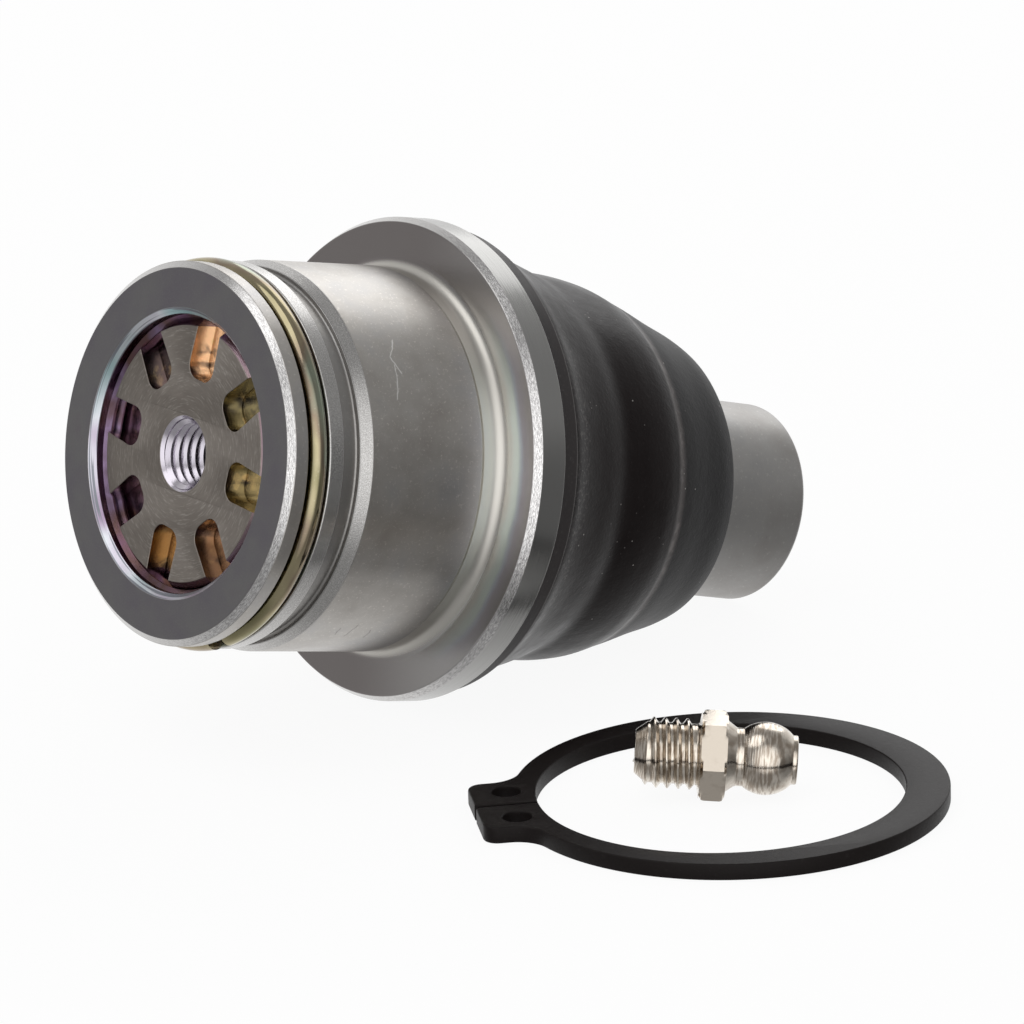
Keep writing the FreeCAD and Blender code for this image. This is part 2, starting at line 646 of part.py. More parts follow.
def make_check_spring():
    # A coiled wire between the rear wall of the fitting and the check ball
    wire_r = size("spring_wire") / 2
    coil_r = size("spring_dia") / 2 - wire_r
    ball_reach = size("check_ball_dia") / 2 + wire_r + size("running_gap")
    start = size("fitting_rear_wall") + wire_r + size("running_gap")
    stop = number(CHECK_BALL_DEPTH) - math.sqrt(ball_reach**2 - coil_r**2)
    pitch = (stop - start) / size("spring_coils")
    path = Part.Wire(Part.makeHelix(pitch, stop - start, coil_r).Edges)
    section = Part.Wire(Part.makeCircle(wire_r, Vector(coil_r, 0, 0), Vector(0, 1, 0)))
    spring = doc.addObject("Part::Feature", "check_spring")
    spring.Label = "check_spring"
    shape = path.makePipeShell([section], True, True)
    shape.translate(Vector(0, 0, start))
    spring.Shape = shape
    return spring


def lie_down(angle, base):
    # Turns a piece whose depth axis is Z so that it points to +Y and down by the angle
    return FreeCAD.Placement(base, Rotation(Vector(1, 0, 0), -(90 + angle)))


def along(angle, distance):
    slope = math.radians(angle)
    return Vector(0, math.cos(slope) * distance, -math.sin(slope) * distance)


# The housing lies on the lower edge of its flange
lying = size("lying_angle")
slope = math.radians(lying)
rim_back = number(FLANGE_BACK) - size("flange_chamfer")
face_height = rim_back * math.sin(slope) + size("flange_dia") / 2 * math.cos(slope)
front_centre = Vector(0, 0, face_height)
ball_centre = front_centre + along(lying, size("ball_depth"))

# The stud has swung down until the edge of its end touches the same surface
edge_reach = size("stud_reach") - size("stud_chamfer")
edge_r = size("shank_dia") / 2
swing = math.asin(ball_centre.z / math.hypot(edge_reach, edge_r)) - math.atan2(edge_r, edge_reach)
stud_angle = math.degrees(swing)
droop = math.radians(stud_angle - lying)
stud_drop = number(RING_BACK) * math.tan(droop)

housing_place = lie_down(lying, front_centre)
stud_place = lie_down(stud_angle, ball_centre)

pieces = []


def place(piece, placement):
    piece.Placement = placement
    pieces.append(piece)


place(make_housing(), housing_place)
place(make_cap(), housing_place)
place(make_upper_race(), housing_place)
place(make_lower_race(), housing_place)
place(make_base_ring(), housing_place)
place(make_boot(stud_drop), housing_place)
place(make_stud(), stud_place)
place(make_stud_ring(), stud_place)
wire_depth = size("wire_groove_front") + size("wire_groove_width") / 2
wire_turn = Rotation(Vector(0, 0, 1), size("wire_place_angle") + size("wire_gap_angle") / 2)
place(make_wire_ring(), housing_place * FreeCAD.Placement(Vector(0, 0, wire_depth), wire_turn))

clip_turn = Rotation(Vector(0, 0, 1), size("clip_angle"))
place(make_circlip(), FreeCAD.Placement(Vector(size("clip_x"), size("clip_y"), 0), clip_turn))

# The fitting lies on one flat of its hexagon, tipped until its head touches the surface
flat_reach = size("fitting_hex") / 2
head_run = size("fitting_head_middle") - number(HEX_BACK)
tip_angle = math.acos(size("fitting_head_dia") / 2 / math.hypot(flat_reach, head_run))
tip_angle -= math.atan2(head_run, flat_reach)
thread_end_height = number(HEX_BACK) * math.sin(tip_angle) + flat_reach * math.cos(tip_angle)
hex_middle = size("fitting_thread_length") + size("fitting_hex_thick") / 2
heading = math.radians(size("fitting_angle"))
back_off = hex_middle * math.cos(tip_angle)
fitting_place = FreeCAD.Placement(
    Vector(
        size("fitting_x") - back_off * math.cos(heading),
        size("fitting_y") - back_off * math.sin(heading),
        thread_end_height,
    ),
    Rotation(Vector(0, 0, 1), size("fitting_angle"))
    * Rotation(Vector(0, 1, 0), 90 + math.degrees(tip_angle)),
)
place(make_fitting(), fitting_place)
ball_shift = FreeCAD.Placement(Vector(0, 0, number(CHECK_BALL_DEPTH)), Rotation())
place(make_check_ball(), fitting_place * ball_shift)
place(make_check_spring(), fitting_place)

doc.recompute()

faults = [
    "%s %s" % (item.Label, item.State)
    for item in doc.Objects
    if "Invalid" in item.State or "Error" in item.State
]
if faults:
    raise RuntimeError("\n".join(faults))

# The origin goes to the middle of the footprint
box = FreeCAD.BoundBox()
for piece in pieces:
    box.add(piece.Shape.optimalBoundingBox(False))
middle = Vector((box.XMin + box.XMax) / 2, (box.YMin + box.YMax) / 2, 0)
shift = FreeCAD.Placement(-middle, Rotation())
for piece in pieces:
    piece.Placement = shift * piece.Placement
doc.recompute()

os.makedirs("parts", exist_ok=True)
for piece in pieces:
    if piece.Shape.isNull() or not piece.Shape.isValid():
        raise RuntimeError("%s has no valid shape" % piece.Label)
    piece.Shape.exportStep("parts/%s.step" % piece.Label)
    print("%-16s %d solid %10.2f mm3" % (piece.Label, len(piece.Shape.Solids), piece.Shape.Volume))


def show(name, point):
    print("%-22s %9.4f %9.4f %9.4f" % (name, point.x, point.y, point.z))


show("box size", Vector(box.XLength, box.YLength, box.ZLength))
show("box low z", Vector(0, 0, box.ZMin))
show("front face centre", front_centre - middle)
show("ball centre", ball_centre - middle)
show("housing axis", along(lying, 1))
show("stud axis", along(stud_angle, 1))
show("fitting axis", fitting_place.Rotation.multVec(Vector(0, 0, 1)))
print("stud angle %.4f, lying angle %.4f" % (stud_angle, lying))
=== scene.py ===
import json
from functools import partialmethod
from math import acos, asin, atan2, ceil, cos, degrees, dist, pi, radians, remainder, sin, sqrt, tan

import bmesh
import bpy
import numpy as np
from mathutils import Matrix, Vector


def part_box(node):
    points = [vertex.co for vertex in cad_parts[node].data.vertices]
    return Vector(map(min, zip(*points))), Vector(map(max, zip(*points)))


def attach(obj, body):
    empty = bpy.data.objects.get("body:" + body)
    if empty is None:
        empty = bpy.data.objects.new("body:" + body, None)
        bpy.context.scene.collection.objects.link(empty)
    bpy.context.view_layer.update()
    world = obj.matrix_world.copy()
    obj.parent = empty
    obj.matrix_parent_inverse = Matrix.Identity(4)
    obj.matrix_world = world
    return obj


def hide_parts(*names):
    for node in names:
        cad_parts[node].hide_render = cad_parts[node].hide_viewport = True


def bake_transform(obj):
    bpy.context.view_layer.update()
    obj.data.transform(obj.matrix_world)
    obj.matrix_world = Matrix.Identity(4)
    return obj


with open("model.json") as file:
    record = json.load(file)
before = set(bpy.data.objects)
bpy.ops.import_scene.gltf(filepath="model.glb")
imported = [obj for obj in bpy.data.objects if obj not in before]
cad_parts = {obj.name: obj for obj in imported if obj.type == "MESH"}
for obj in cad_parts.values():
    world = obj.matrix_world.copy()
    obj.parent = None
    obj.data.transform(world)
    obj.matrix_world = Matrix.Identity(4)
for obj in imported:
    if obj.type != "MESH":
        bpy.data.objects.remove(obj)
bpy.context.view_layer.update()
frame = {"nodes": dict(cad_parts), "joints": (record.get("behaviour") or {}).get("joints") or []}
print("frame loaded")

# Shapes are drawn in millimetres in a piece's own frame and then put in place in metres.
mm = 0.001
joints = {joint["name"]: joint for joint in frame["joints"]}

# Where the joint and its loose pieces lie, in millimetres and degrees
layout = {
    "ballDepth": 20.0,  # from the front face to the ball's centre
    "clipCentre": (43.5, 26.0),  # beside and behind the front face's centre
    "clipAngle": 240.6,  # direction of the lugs
    "valveDepth": 12.5237,  # from the fitting's thread end to its check ball
}
ballCentre = Vector(joints["swing"]["pos_m"])
housingAxis = Vector(joints["swing_direction"]["axis"])
studAxis = Vector(joints["stud_spin"]["axis"])
fittingAxis = -Vector(joints["check_valve_lift"]["axis"])
faceCentre = ballCentre - housingAxis * layout["ballDepth"] * mm


def lyingPlace(origin, axis):
    # Local Z runs along the axis, local X stays level, and local Y points down
    level = Vector((1, 0, 0)) if abs(axis.x) < 1e-6 else Vector((axis.y, -axis.x, 0)).normalized()
    place = Matrix((level, axis.cross(level), axis)).transposed().to_4x4()
    place.translation = origin
    return place


housingPlace = lyingPlace(faceCentre, housingAxis)
studPlace = lyingPlace(ballCentre, studAxis)
valveLow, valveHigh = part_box("check_ball")
valveCentre = (valveLow + valveHigh) / 2
fittingPlace = lyingPlace(valveCentre - fittingAxis * layout["valveDepth"] * mm, fittingAxis)
clipPlace = Matrix.Rotation(radians(layout["clipAngle"]), 4, "Z")
clipPlace.translation = (faceCentre.xy + Vector(layout["clipCentre"]) * mm).to_3d()


# Meshes

shading = {"sharpAngle": 26.0, "arcStep": 10.0, "support": 0.05}


def placed(name, data):
    # A new object in the scene
    thing = bpy.data.objects.new(name, data)
    bpy.context.scene.collection.objects.link(thing)
    return thing


def finishMesh(name, data, place, material):
    tidyFaces(data)
    data.transform(place @ Matrix.Scale(mm, 4))
    data.materials.clear()
    data.materials.append(material)
    data.shade_smooth()
    data.set_sharp_from_angle(angle=radians(shading["sharpAngle"]))
    return placed(name, data)


def roundCorners(corners, closed=True):
    # Corners are (across, along, fillet). A fillet becomes an arc, with a close point beside it.
    points = []
    last = len(corners) - 1
    for index, (across, along, fillet) in enumerate(corners):
        here = np.array((across, along), float)
        if not fillet or (not closed and index in (0, last)):
            points.append(here)
            continue
        back = np.array(corners[index - 1][:2]) - here
        ahead = np.array(corners[(index + 1) % len(corners)][:2]) - here
        back, ahead = back / np.linalg.norm(back), ahead / np.linalg.norm(ahead)
        half = acos(np.clip(back @ ahead, -1, 1)) / 2
        reach = fillet / tan(half)
        middle = back + ahead
        centre = here + middle / np.linalg.norm(middle) * fillet / sin(half)
        first, stop = here + back * reach - centre, here + ahead * reach - centre
        start = atan2(first[1], first[0])
        turn = remainder(atan2(stop[1], stop[0]) - start, 2 * pi)
        steps = max(2, ceil(abs(degrees(turn)) / shading["arcStep"]))
        beside = min(shading["support"], fillet)
        points.append(centre + first + back * beside)
        for step in range(steps + 1):
            angle = start + turn * step / steps
            points.append(centre + fillet * np.array((cos(angle), sin(angle))))
        points.append(centre + stop + ahead * beside)
    return np.array(points)


def denser(points, spacing, closed=True):
    # Adds points along the long sides of an outline
    filled = []
    count = len(points)
    for index in range(count if closed else count - 1):
        start, stop = points[index], points[(index + 1) % count]
        steps = max(1, ceil(np.linalg.norm(stop - start) / spacing))
        filled += [start + (stop - start) * step / steps for step in range(steps)]
    if not closed:
        filled.append(points[-1])
    return np.array(filled)


def turned(name, outline, place, material, segments=256, closed=True, shape=None):
    # A lathe shape from an outline of (radius, depth). shape gives a new radius and a drop.
    rings = len(outline)
    angles = np.linspace(0, 2 * pi, segments, endpoint=False)
    radius, angle = np.meshgrid(outline[:, 0], angles, indexing="ij")
    depth = np.meshgrid(outline[:, 1], angles, indexing="ij")[0]
    drop = 0
    if shape:
        radius, drop = shape(radius, depth, angle)
    points = np.stack((radius * np.cos(angle), radius * np.sin(angle) + drop, depth), axis=-1)
    rows = np.arange(rings if closed else rings - 1)
    row, step = np.meshgrid(rows, np.arange(segments), indexing="ij")
    here, above = row * segments, (row + 1) % rings * segments
    beside = (step + 1) % segments
    faces = np.stack((here + step, here + beside, above + beside, above + step), axis=-1)
    data = bpy.data.meshes.new(name)
    data.from_pydata(points.reshape(-1, 3).tolist(), [], faces.reshape(-1, 4).tolist())
    return finishMesh(name, data, place, material)


def tidyFaces(data):
    # Merges the points at a pole and turns every face outwards
    draft = bmesh.new()
    draft.from_mesh(data)
    bmesh.ops.remove_doubles(draft, verts=draft.verts, dist=1e-5)
    bmesh.ops.dissolve_degenerate(draft, edges=draft.edges, dist=1e-6)
    bmesh.ops.recalc_face_normals(draft, faces=draft.faces)
    draft.to_mesh(data)
    draft.free()


def evaluated(name, draft):
    # The plain mesh that a curve or a Geometry Nodes tree makes
    data = bpy.data.meshes.new_from_object(draft.evaluated_get(bpy.context.evaluated_depsgraph_get()))
    bpy.data.objects.remove(draft)
    data.name = name
    return data


def plate(name, outlines, thick, edge, base, place, material, chamfer=None):
    # A flat plate from closed outlines, with rounded edges, lying from base to base + thick.
    # chamfer is (radius, depth) of a cone that cuts the rim on the base side.
    flat = bpy.data.curves.new(name, "CURVE")
    flat.dimensions = "2D"
    flat.fill_mode = "BOTH"
    flat.extrude = thick / 2 - edge
    flat.bevel_depth = edge
    flat.bevel_resolution = 2
    flat.offset = -edge
    for outline in outlines:
        spline = flat.splines.new("POLY")
        spline.points.add(len(outline) - 1)
        for point, (across, along) in zip(spline.points, outline):
            point.co = (across, along, 0, 1)
        spline.use_cyclic_u = True
    data = evaluated(name, placed(name + "Draft", flat))
    data.transform(Matrix.Translation((0, 0, base + thick / 2)))
    if chamfer:
        coneRim(data, base, *chamfer)
    return finishMesh(name, data, place, material)


def coneRim(data, base, radius, depth):
    draft = bmesh.new()
    draft.from_mesh(data)
    bmesh.ops.bisect_plane(
        draft, geom=draft.verts[:] + draft.edges[:] + draft.faces[:], plane_co=(0, 0, base + depth),
        plane_no=(0, 0, 1),
    )
    for point in draft.verts:
        reach = point.co.xy.length
        allowed = radius + max(point.co.z - base, 0)
        if reach > allowed:
            point.co.xy *= allowed / reach
    draft.to_mesh(data)
    draft.free()


def arcPoints(centre, radius, start, stop, step=3.0):
    # Points on an arc between two angles in degrees
    steps = max(2, ceil(abs(stop - start) / step))
    across, along = centre
    turns = np.radians(np.linspace(start, stop, steps + 1))
    return [(across + radius * cos(turn), along + radius * sin(turn)) for turn in turns]


def joined(name, pieces):
    # Several meshes of one real piece become one object
    bpy.ops.object.select_all(action="DESELECT")
    for piece in pieces:
        piece.select_set(True)
    bpy.context.view_layer.objects.active = pieces[0]
    bpy.ops.object.join()
    pieces[0].name = name
    return pieces[0]


# Shader maths


class Wire:
    # A socket of a node tree. Arithmetic on it adds Math nodes.
    def __init__(self, tree, socket=None):
        self.tree = tree
        self.socket = socket

    def node(self, kind, inputs=None, output=0, **settings):
        made = self.tree.nodes.new(kind)
        for key, value in settings.items():
            setattr(made, key, value)
        for key, value in (inputs or {}).items():
            if isinstance(value, Wire):
                self.tree.links.new(value.socket, made.inputs[key])
            else:
                made.inputs[key].default_value = value
        return Wire(self.tree, made.outputs[output] if made.outputs else None)

    def math(self, operation, *others):
        return self.node("ShaderNodeMath", dict(enumerate((self, *others))), operation=operation)

    def __rsub__(self, other):
        return self.node("ShaderNodeMath", {0: other, 1: self}, operation="SUBTRACT")

    __add__ = __radd__ = partialmethod(math, "ADD")
    __sub__ = partialmethod(math, "SUBTRACT")
    __mul__ = __rmul__ = partialmethod(math, "MULTIPLY")
    __truediv__ = partialmethod(math, "DIVIDE")
    __pow__ = partialmethod(math, "POWER")

    def rise(self, low, high):
        # 0 below low, 1 above high, smooth between
        ends = {"Value": self, "From Min": low, "From Max": high}
        return self.node("ShaderNodeMapRange", ends, interpolation_type="SMOOTHSTEP")

    def band(self, low, high, soft):
        return self.rise(low - soft, low + soft) * (1 - self.rise(high - soft, high + soft))

    def tint(self, dark, light):
        # This value mixes two colours, each a tuple or a socket
        shades = [shade if isinstance(shade, Wire) else (*shade, 1) for shade in (dark, light)]
        mixed = {0: self, 6: shades[0], 7: shades[1]}
        return self.node("ShaderNodeMix", mixed, 2, data_type="RGBA", clamp_factor=True)

    def blendTo(self, low, high):
        # This value mixes two numbers
        return self.node("ShaderNodeMix", {0: self, 2: low, 3: high}, data_type="FLOAT")

    def noise(self, scale, detail=3.0, roughness=0.55):
        inputs = {"Vector": self, "Scale": scale, "Detail": detail, "Roughness": roughness}
        return self.node("ShaderNodeTexNoise", inputs)

    def ramp(self, stops):
        made = self.node("ShaderNodeValToRGB", {"Fac": self})
        elements = made.socket.node.color_ramp.elements
        while len(elements) < len(stops):
            elements.new(0.5)
        for element, (position, colour) in zip(elements, stops):
            element.position = position
            element.color = (*colour, 1)
        return made

    def part(self, axis):
        return self.node("ShaderNodeSeparateXYZ", {0: self}, "XYZ".index(axis))

    def scaled(self, factors):
        return self.node("ShaderNodeVectorMath", {0: self, 1: factors}, operation="MULTIPLY")

    def facing(self, direction):
        # 1 where this vector points in the direction, -1 where it points away
        inputs = {0: self, 1: Vector(direction).normalized()}
        return self.node("ShaderNodeVectorMath", inputs, "Value", operation="DOT_PRODUCT")


class Coordinates:
    # Object coordinates in millimetres and radians in a piece's own frame
    def __init__(self, tree, place):
        turn = place.to_3x3().transposed()
        point = Wire(tree).node("ShaderNodeTexCoord", output="Object")
        mapping = {
            "Vector": point, "Location": -(turn @ place.translation) / mm,
            "Rotation": turn.to_euler(), "Scale": (1 / mm, 1 / mm, 1 / mm),
        }
        self.vector = point.node("ShaderNodeMapping", mapping, vector_type="POINT")
        self.across, self.along, self.depth = (self.vector.part(axis) for axis in "XYZ")
        self.radius = (self.across * self.across + self.along * self.along) ** 0.5
        self.angle = self.along.math("ARCTAN2", self.across)

    def noise(self, *values):
        return self.vector.noise(*values)

    def turning(self, stretch, fine):
        # Coordinates whose pattern is drawn out round the axis, as by a lathe
        line = self.depth * fine + self.radius * (fine * 1.37)
        parts = {0: self.across * stretch, 1: self.along * stretch, 2: line}
        return line.node("ShaderNodeCombineXYZ", parts)


def clearedTree(holder):
    # Starts the nodes of a material or a world
    holder.use_nodes = True
    holder.node_tree.nodes.clear()
    return Wire(holder.node_tree)


def makeMaterial(name, place, finish, metallic=1.0, specular=0.5):
    # finish gives what varies: colour, roughness, a relief from 0 to 1 and its depth
    material = bpy.data.materials.new(name)
    start = clearedTree(material)
    colour, roughness, relief, depth = finish(Coordinates(start.tree, place))
    normal = start.node("ShaderNodeBump", {"Height": relief, "Distance": depth * mm})
    inputs = {
        "Base Color": colour, "Roughness": roughness, "Normal": normal, "Metallic": metallic,
        "Specular IOR Level": specular,
    }
    shader = start.node("ShaderNodeBsdfPrincipled", inputs)
    shader.node("ShaderNodeOutputMaterial", {"Surface": shader})
    return material


def layered(colour, *coats):
    # Lays coats of (where, shade) over a colour
    for where, shade in coats:
        colour = where.tint(colour, shade)
    return colour


# Housing

housing = {
    "mouthR": 13.0, "boreR": 12.4, "mouthChamfer": 0.6,
    "faceR": 16.45, "faceChamfer": 0.55, "collarR": 17.1,
    "wireFront": 1.9, "wireBack": 4.1, "wireFloorR": 15.45,
    "landR": 17.3, "clipFront": 5.65, "clipBack": 7.65, "clipFloorR": 16.5,
    "leadR": 16.95, "barrelFront": 8.75, "barrelR": 17.5,
    "reliefFront": 21.0, "reliefRun": 0.45, "reliefR": 17.22, "rootFillet": 1.15,
    "flangeFront": 23.5, "flangeBack": 27.1, "flangeR": 22.0,
    "rimDrop": 0.45, "rimDepth": 0.75, "backChamfer": 0.3,
    "spigotR": 17.0, "spigotEnd": 29.5, "exitR": 12.3, "lipR": 10.3, "seatDepth": 25.2,
    "edge": 0.08, "spacing": 1.2,
    # Radii between which one finish gives way to the next
    "faceCutRise": (15.0, 15.5), "landRise": (16.6, 16.9), "grooveRise": (17.0, 17.15),
    "leadRise": (16.8, 16.95), "flangeRise": (17.6, 18.2), "rainbowRise": (17.9, 21.8),
    "rimCutRise": (21.3, 21.5),
    # Hairlines on the barrel, each from one depth and angle to another
    "paleScratches": (
        (13.3, -48.5, 12.3, -42.5), (12.3, -42.5, 13.0, -37.0), (12.5, -40.0, 12.3, -35.0),
        (12.3, -35.0, 11.8, -29.0),
    ),
    "darkScratches": (
        (13.9, 53.5, 13.9, 46.0), (16.3, 54.5, 16.0, 49.0), (12.6, 52.5, 12.3, 48.0),
    ),
}


def housingOutline():
    size = housing
    edge, front, back = size["edge"], size["flangeFront"], size["flangeBack"]
    corners = [
        (size["mouthR"], 0, edge), (size["faceR"], 0, edge),
        (size["collarR"], size["faceChamfer"], edge), (size["collarR"], size["wireFront"], edge),
        (size["wireFloorR"], size["wireFront"], edge), (size["wireFloorR"], size["wireBack"], edge),
        (size["landR"], size["wireBack"], edge * 2), (size["landR"], size["clipFront"], edge),
        (size["clipFloorR"], size["clipFront"], edge * 3),
        (size["clipFloorR"], size["clipBack"], edge * 3),
        (size["leadR"], size["clipBack"], edge), (size["barrelR"], size["barrelFront"], edge * 3),
        (size["barrelR"], size["reliefFront"], edge * 2),
        (size["reliefR"], size["reliefFront"] + size["reliefRun"], edge * 3),
        (size["reliefR"], front, size["rootFillet"]),
        (size["flangeR"] - size["rimDrop"], front, edge * 2),
        (size["flangeR"], front + size["rimDepth"], edge),
        (size["flangeR"], back - size["backChamfer"], edge),
        (size["flangeR"] - size["backChamfer"], back, edge),
        (size["spigotR"], back, edge), (size["spigotR"], size["spigotEnd"], edge),
        (size["exitR"], size["spigotEnd"], edge), (size["lipR"], size["seatDepth"], edge),
        (size["boreR"], size["seatDepth"], edge), (size["boreR"], size["mouthChamfer"], edge),
    ]
    return denser(roundCorners(corners), size["spacing"])


def scratch(at, radius, startDepth, startAngle, endDepth, endAngle):
    # A hairline between two places on a barrel, given by depth and degrees round it
    start = (startDepth, radians(startAngle) * radius)
    end = (endDepth, radians(endAngle) * radius)
    length = dist(start, end)
    run = ((end[0] - start[0]) / length, (end[1] - start[1]) / length)
    deeper, further = at.depth - start[0], at.angle * radius - start[1]
    forward = deeper * run[0] + further * run[1]
    aside = further * run[0] - deeper * run[1] + (at.noise(0.9, 2.0) - 0.5) * 0.5
    near = 1 - aside.math("ABSOLUTE").rise(0.03, 0.09)
    onBarrel = at.radius.rise(radius - 0.1, radius - 0.05)
    return near * forward.band(0, length, 0.12) * onBarrel


def zincFinish(at):
    # Satin zinc over turned steel, with a finish of its own in each zone, and painted light and shade on
    # the flange, cut chamfers, root, groove, rim and bore
    size = housing
    fine = at.turning(0.6, 9.0).noise(1.0, 2.0)
    grain = at.noise(7.0, 3.0, 0.6)
    cloud = at.noise(0.16, 3.0, 0.6)
    blotch = at.vector.scaled((0.5, 0.5, 0.25)).noise(0.9, 4.0, 0.65)
    streaks = at.turning(2.4, 12.0).noise(1.0, 3.0, 0.75)
    flecks = at.noise(11.0, 2.0, 0.7)
    speckle = at.noise(3.4, 4.0, 0.8)
    side = (at.across / at.radius).rise(0.0, 0.85)
    # The side toward local +X, where the flange face's hues are painted bright as a highlight
    highlightSide = (at.across / at.radius).rise(0.55, 0.95)

    # Zones, from the mouth to the flange
    chamfer, front = size["mouthChamfer"], size["flangeFront"]
    rimStart = front + size["rimDepth"]
    inBore = 1 - at.radius.rise(size["boreR"] + 0.1, size["boreR"] + 0.35)
    inBore = inBore * at.depth.rise(chamfer - 0.15, chamfer)
    onFace = 1 - at.depth.rise(0.01, 0.05)
    mouthCut = at.depth.rise(0.02, 0.06) * (1 - at.depth.rise(chamfer - 0.05, chamfer + 0.05))
    mouthCut = mouthCut * (1 - at.radius.rise(size["mouthR"] + 0.02, size["mouthR"] + 0.1))
    faceCut = at.depth.band(0.04, size["faceChamfer"] - 0.04, 0.03)
    faceCut = faceCut * at.radius.rise(*size["faceCutRise"])
    land = at.depth.band(size["wireBack"], size["clipFront"], 0.05) * at.radius.rise(*size["landRise"])
    groove = at.depth.band(size["clipFront"] - 0.1, size["clipBack"] + 0.1, 0.04)
    groove = groove * (1 - at.radius.rise(*size["grooveRise"]))
    lead = at.depth.band(size["clipBack"], size["barrelFront"], 0.06)
    lead = lead * at.radius.rise(*size["leadRise"])
    root = at.depth.rise(size["reliefFront"], size["reliefFront"] + 0.1)
    flange = at.depth.rise(front - 0.6, front - 0.1) * at.radius.rise(*size["flangeRise"])
    rimCut = at.depth.band(front + 0.05, rimStart, 0.04) * at.radius.rise(*size["rimCutRise"])
    rim = at.depth.rise(rimStart, rimStart + 0.08)
    rough = faceCut.math("MAXIMUM", rimCut)
    wearAndSheen = land.math("MAXIMUM", lead)

    # Colour of each zone
    zincTints = [(0.3, (0.38, 0.355, 0.33)), (0.5, (0.455, 0.435, 0.41)), (0.7, (0.415, 0.405, 0.40))]
    base = layered(
        cloud.ramp(zincTints),
        (blotch.rise(0.45, 0.75) * 0.3, (0.33, 0.31, 0.29)),
        (grain.rise(0.62, 0.8) * 0.35, (0.62, 0.61, 0.59)),
        (speckle.rise(0.57, 0.66) * 0.55, (0.74, 0.71, 0.66)),
    )
    # The flange face's chromate hues across its radius, painted bright as a highlight
    rainbowHighlight = (at.radius.rise(*size["rainbowRise"]) + (cloud - 0.5) * 0.45).ramp(
        [
            (0.0, (0.66, 0.65, 0.62)), (0.16, (0.66, 0.72, 0.70)), (0.34, (0.74, 0.83, 0.80)),
            (0.5, (0.62, 0.68, 0.76)), (0.68, (0.52, 0.50, 0.55)), (1.0, (0.42, 0.405, 0.40)),
        ]
    )
    faceTints = [(0.35, (0.18, 0.168, 0.186)), (0.6, (0.20, 0.195, 0.196)), (0.75, (0.19, 0.17, 0.185))]
    # The flange's other colour, painted darker away from local +X as shade and lighter toward it
    plain = side.tint((0.235, 0.215, 0.21), (0.44, 0.43, 0.42))
    faceColour = layered(
        cloud.ramp(faceTints),
        (grain.rise(0.5, 0.75) * 0.5, (0.25, 0.24, 0.245)),
        (speckle.rise(0.7, 0.76) * 0.6, (0.13, 0.12, 0.13)),
    )
    # Purple and brown tints in the bore, painted dark as the shade inside it
    boreTintAndShade = at.noise(0.16, 3.0, 0.5).ramp(
        [
            (0.3, (0.16, 0.085, 0.15)), (0.45, (0.13, 0.075, 0.07)), (0.56, (0.24, 0.17, 0.27)),
            (0.66, (0.10, 0.07, 0.08)), (0.8, (0.20, 0.12, 0.08)),
        ]
    )
    mouthColour = at.noise(0.1, 2.0).ramp(
        [(0.35, (0.34, 0.52, 0.53)), (0.5, (0.66, 0.68, 0.72)), (0.65, (0.40, 0.29, 0.42))]
    )
    mouthLines = at.turning(0.12, 16.0).noise(1.0, 1.0)
    mouthColour = mouthLines.rise(0.5, 0.6).tint(mouthColour, (0.24, 0.25, 0.28))
    # Painted glints for the rough-cut chamfers
    sparkle = streaks.rise(0.40, 0.60).tint((0.40, 0.39, 0.39), (0.84, 0.83, 0.82))

    # The flange gets painted light and shade by side: the highlight toward local +X, shade away from it
    colour = flange.tint(base, highlightSide.tint(plain, rainbowHighlight))
    for kind, force, shade in (
        ("paleScratches", 0.75, (0.86, 0.85, 0.83)), ("darkScratches", 0.7, (0.20, 0.18, 0.17)),
    ):
        for path in size[kind]:
            colour = (scratch(at, size["barrelR"], *path) * force).tint(colour, shade)
    colour = layered(
        colour,
        # The root's fillet is painted paler as a highlight
        (root * (1 - flange), (0.56, 0.54, 0.50)),
        (onFace, faceColour),
        (inBore, boreTintAndShade),
        (mouthCut, mouthColour),
        # The cut chamfers get painted glints, stronger toward local +X
        (rough, (side * 0.8 + 0.2).tint((0.50, 0.49, 0.48), sparkle)),
        (wearAndSheen, flecks.rise(0.4, 0.7).tint((0.40, 0.39, 0.38), (0.60, 0.59, 0.575))),
        # Painted shade in the ring groove
        (groove * 0.6, (0.24, 0.235, 0.23)),
        # The flange rim is painted darker as shade
        (rim * 0.8, (0.31, 0.31, 0.30)),
    )
    roughness = grain.blendTo(0.30, 0.42)
    for zone, value in ((flange, 0.24), (onFace, 0.55), (rough, 0.22), (wearAndSheen, 0.27), (inBore, 0.22)):
        roughness = zone.blendTo(roughness, value)
    height = fine * 0.5 + grain * 0.5 + speckle * 0.5
    height = rough.blendTo(height, streaks * (side + 0.3))
    height = (rim * (1 - rimCut)).blendTo(height, at.turning(0.15, 7.0).noise(1.0, 1.0) * 1.3)
    return colour, roughness, height, 0.012


zinc = makeMaterial("zinc", housingPlace, zincFinish)
housingSkin = turned("housingSkin", housingOutline(), housingPlace, zinc, segments=360)
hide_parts("housing")
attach(housingSkin, "root")
print("housing made")


# Screw cap

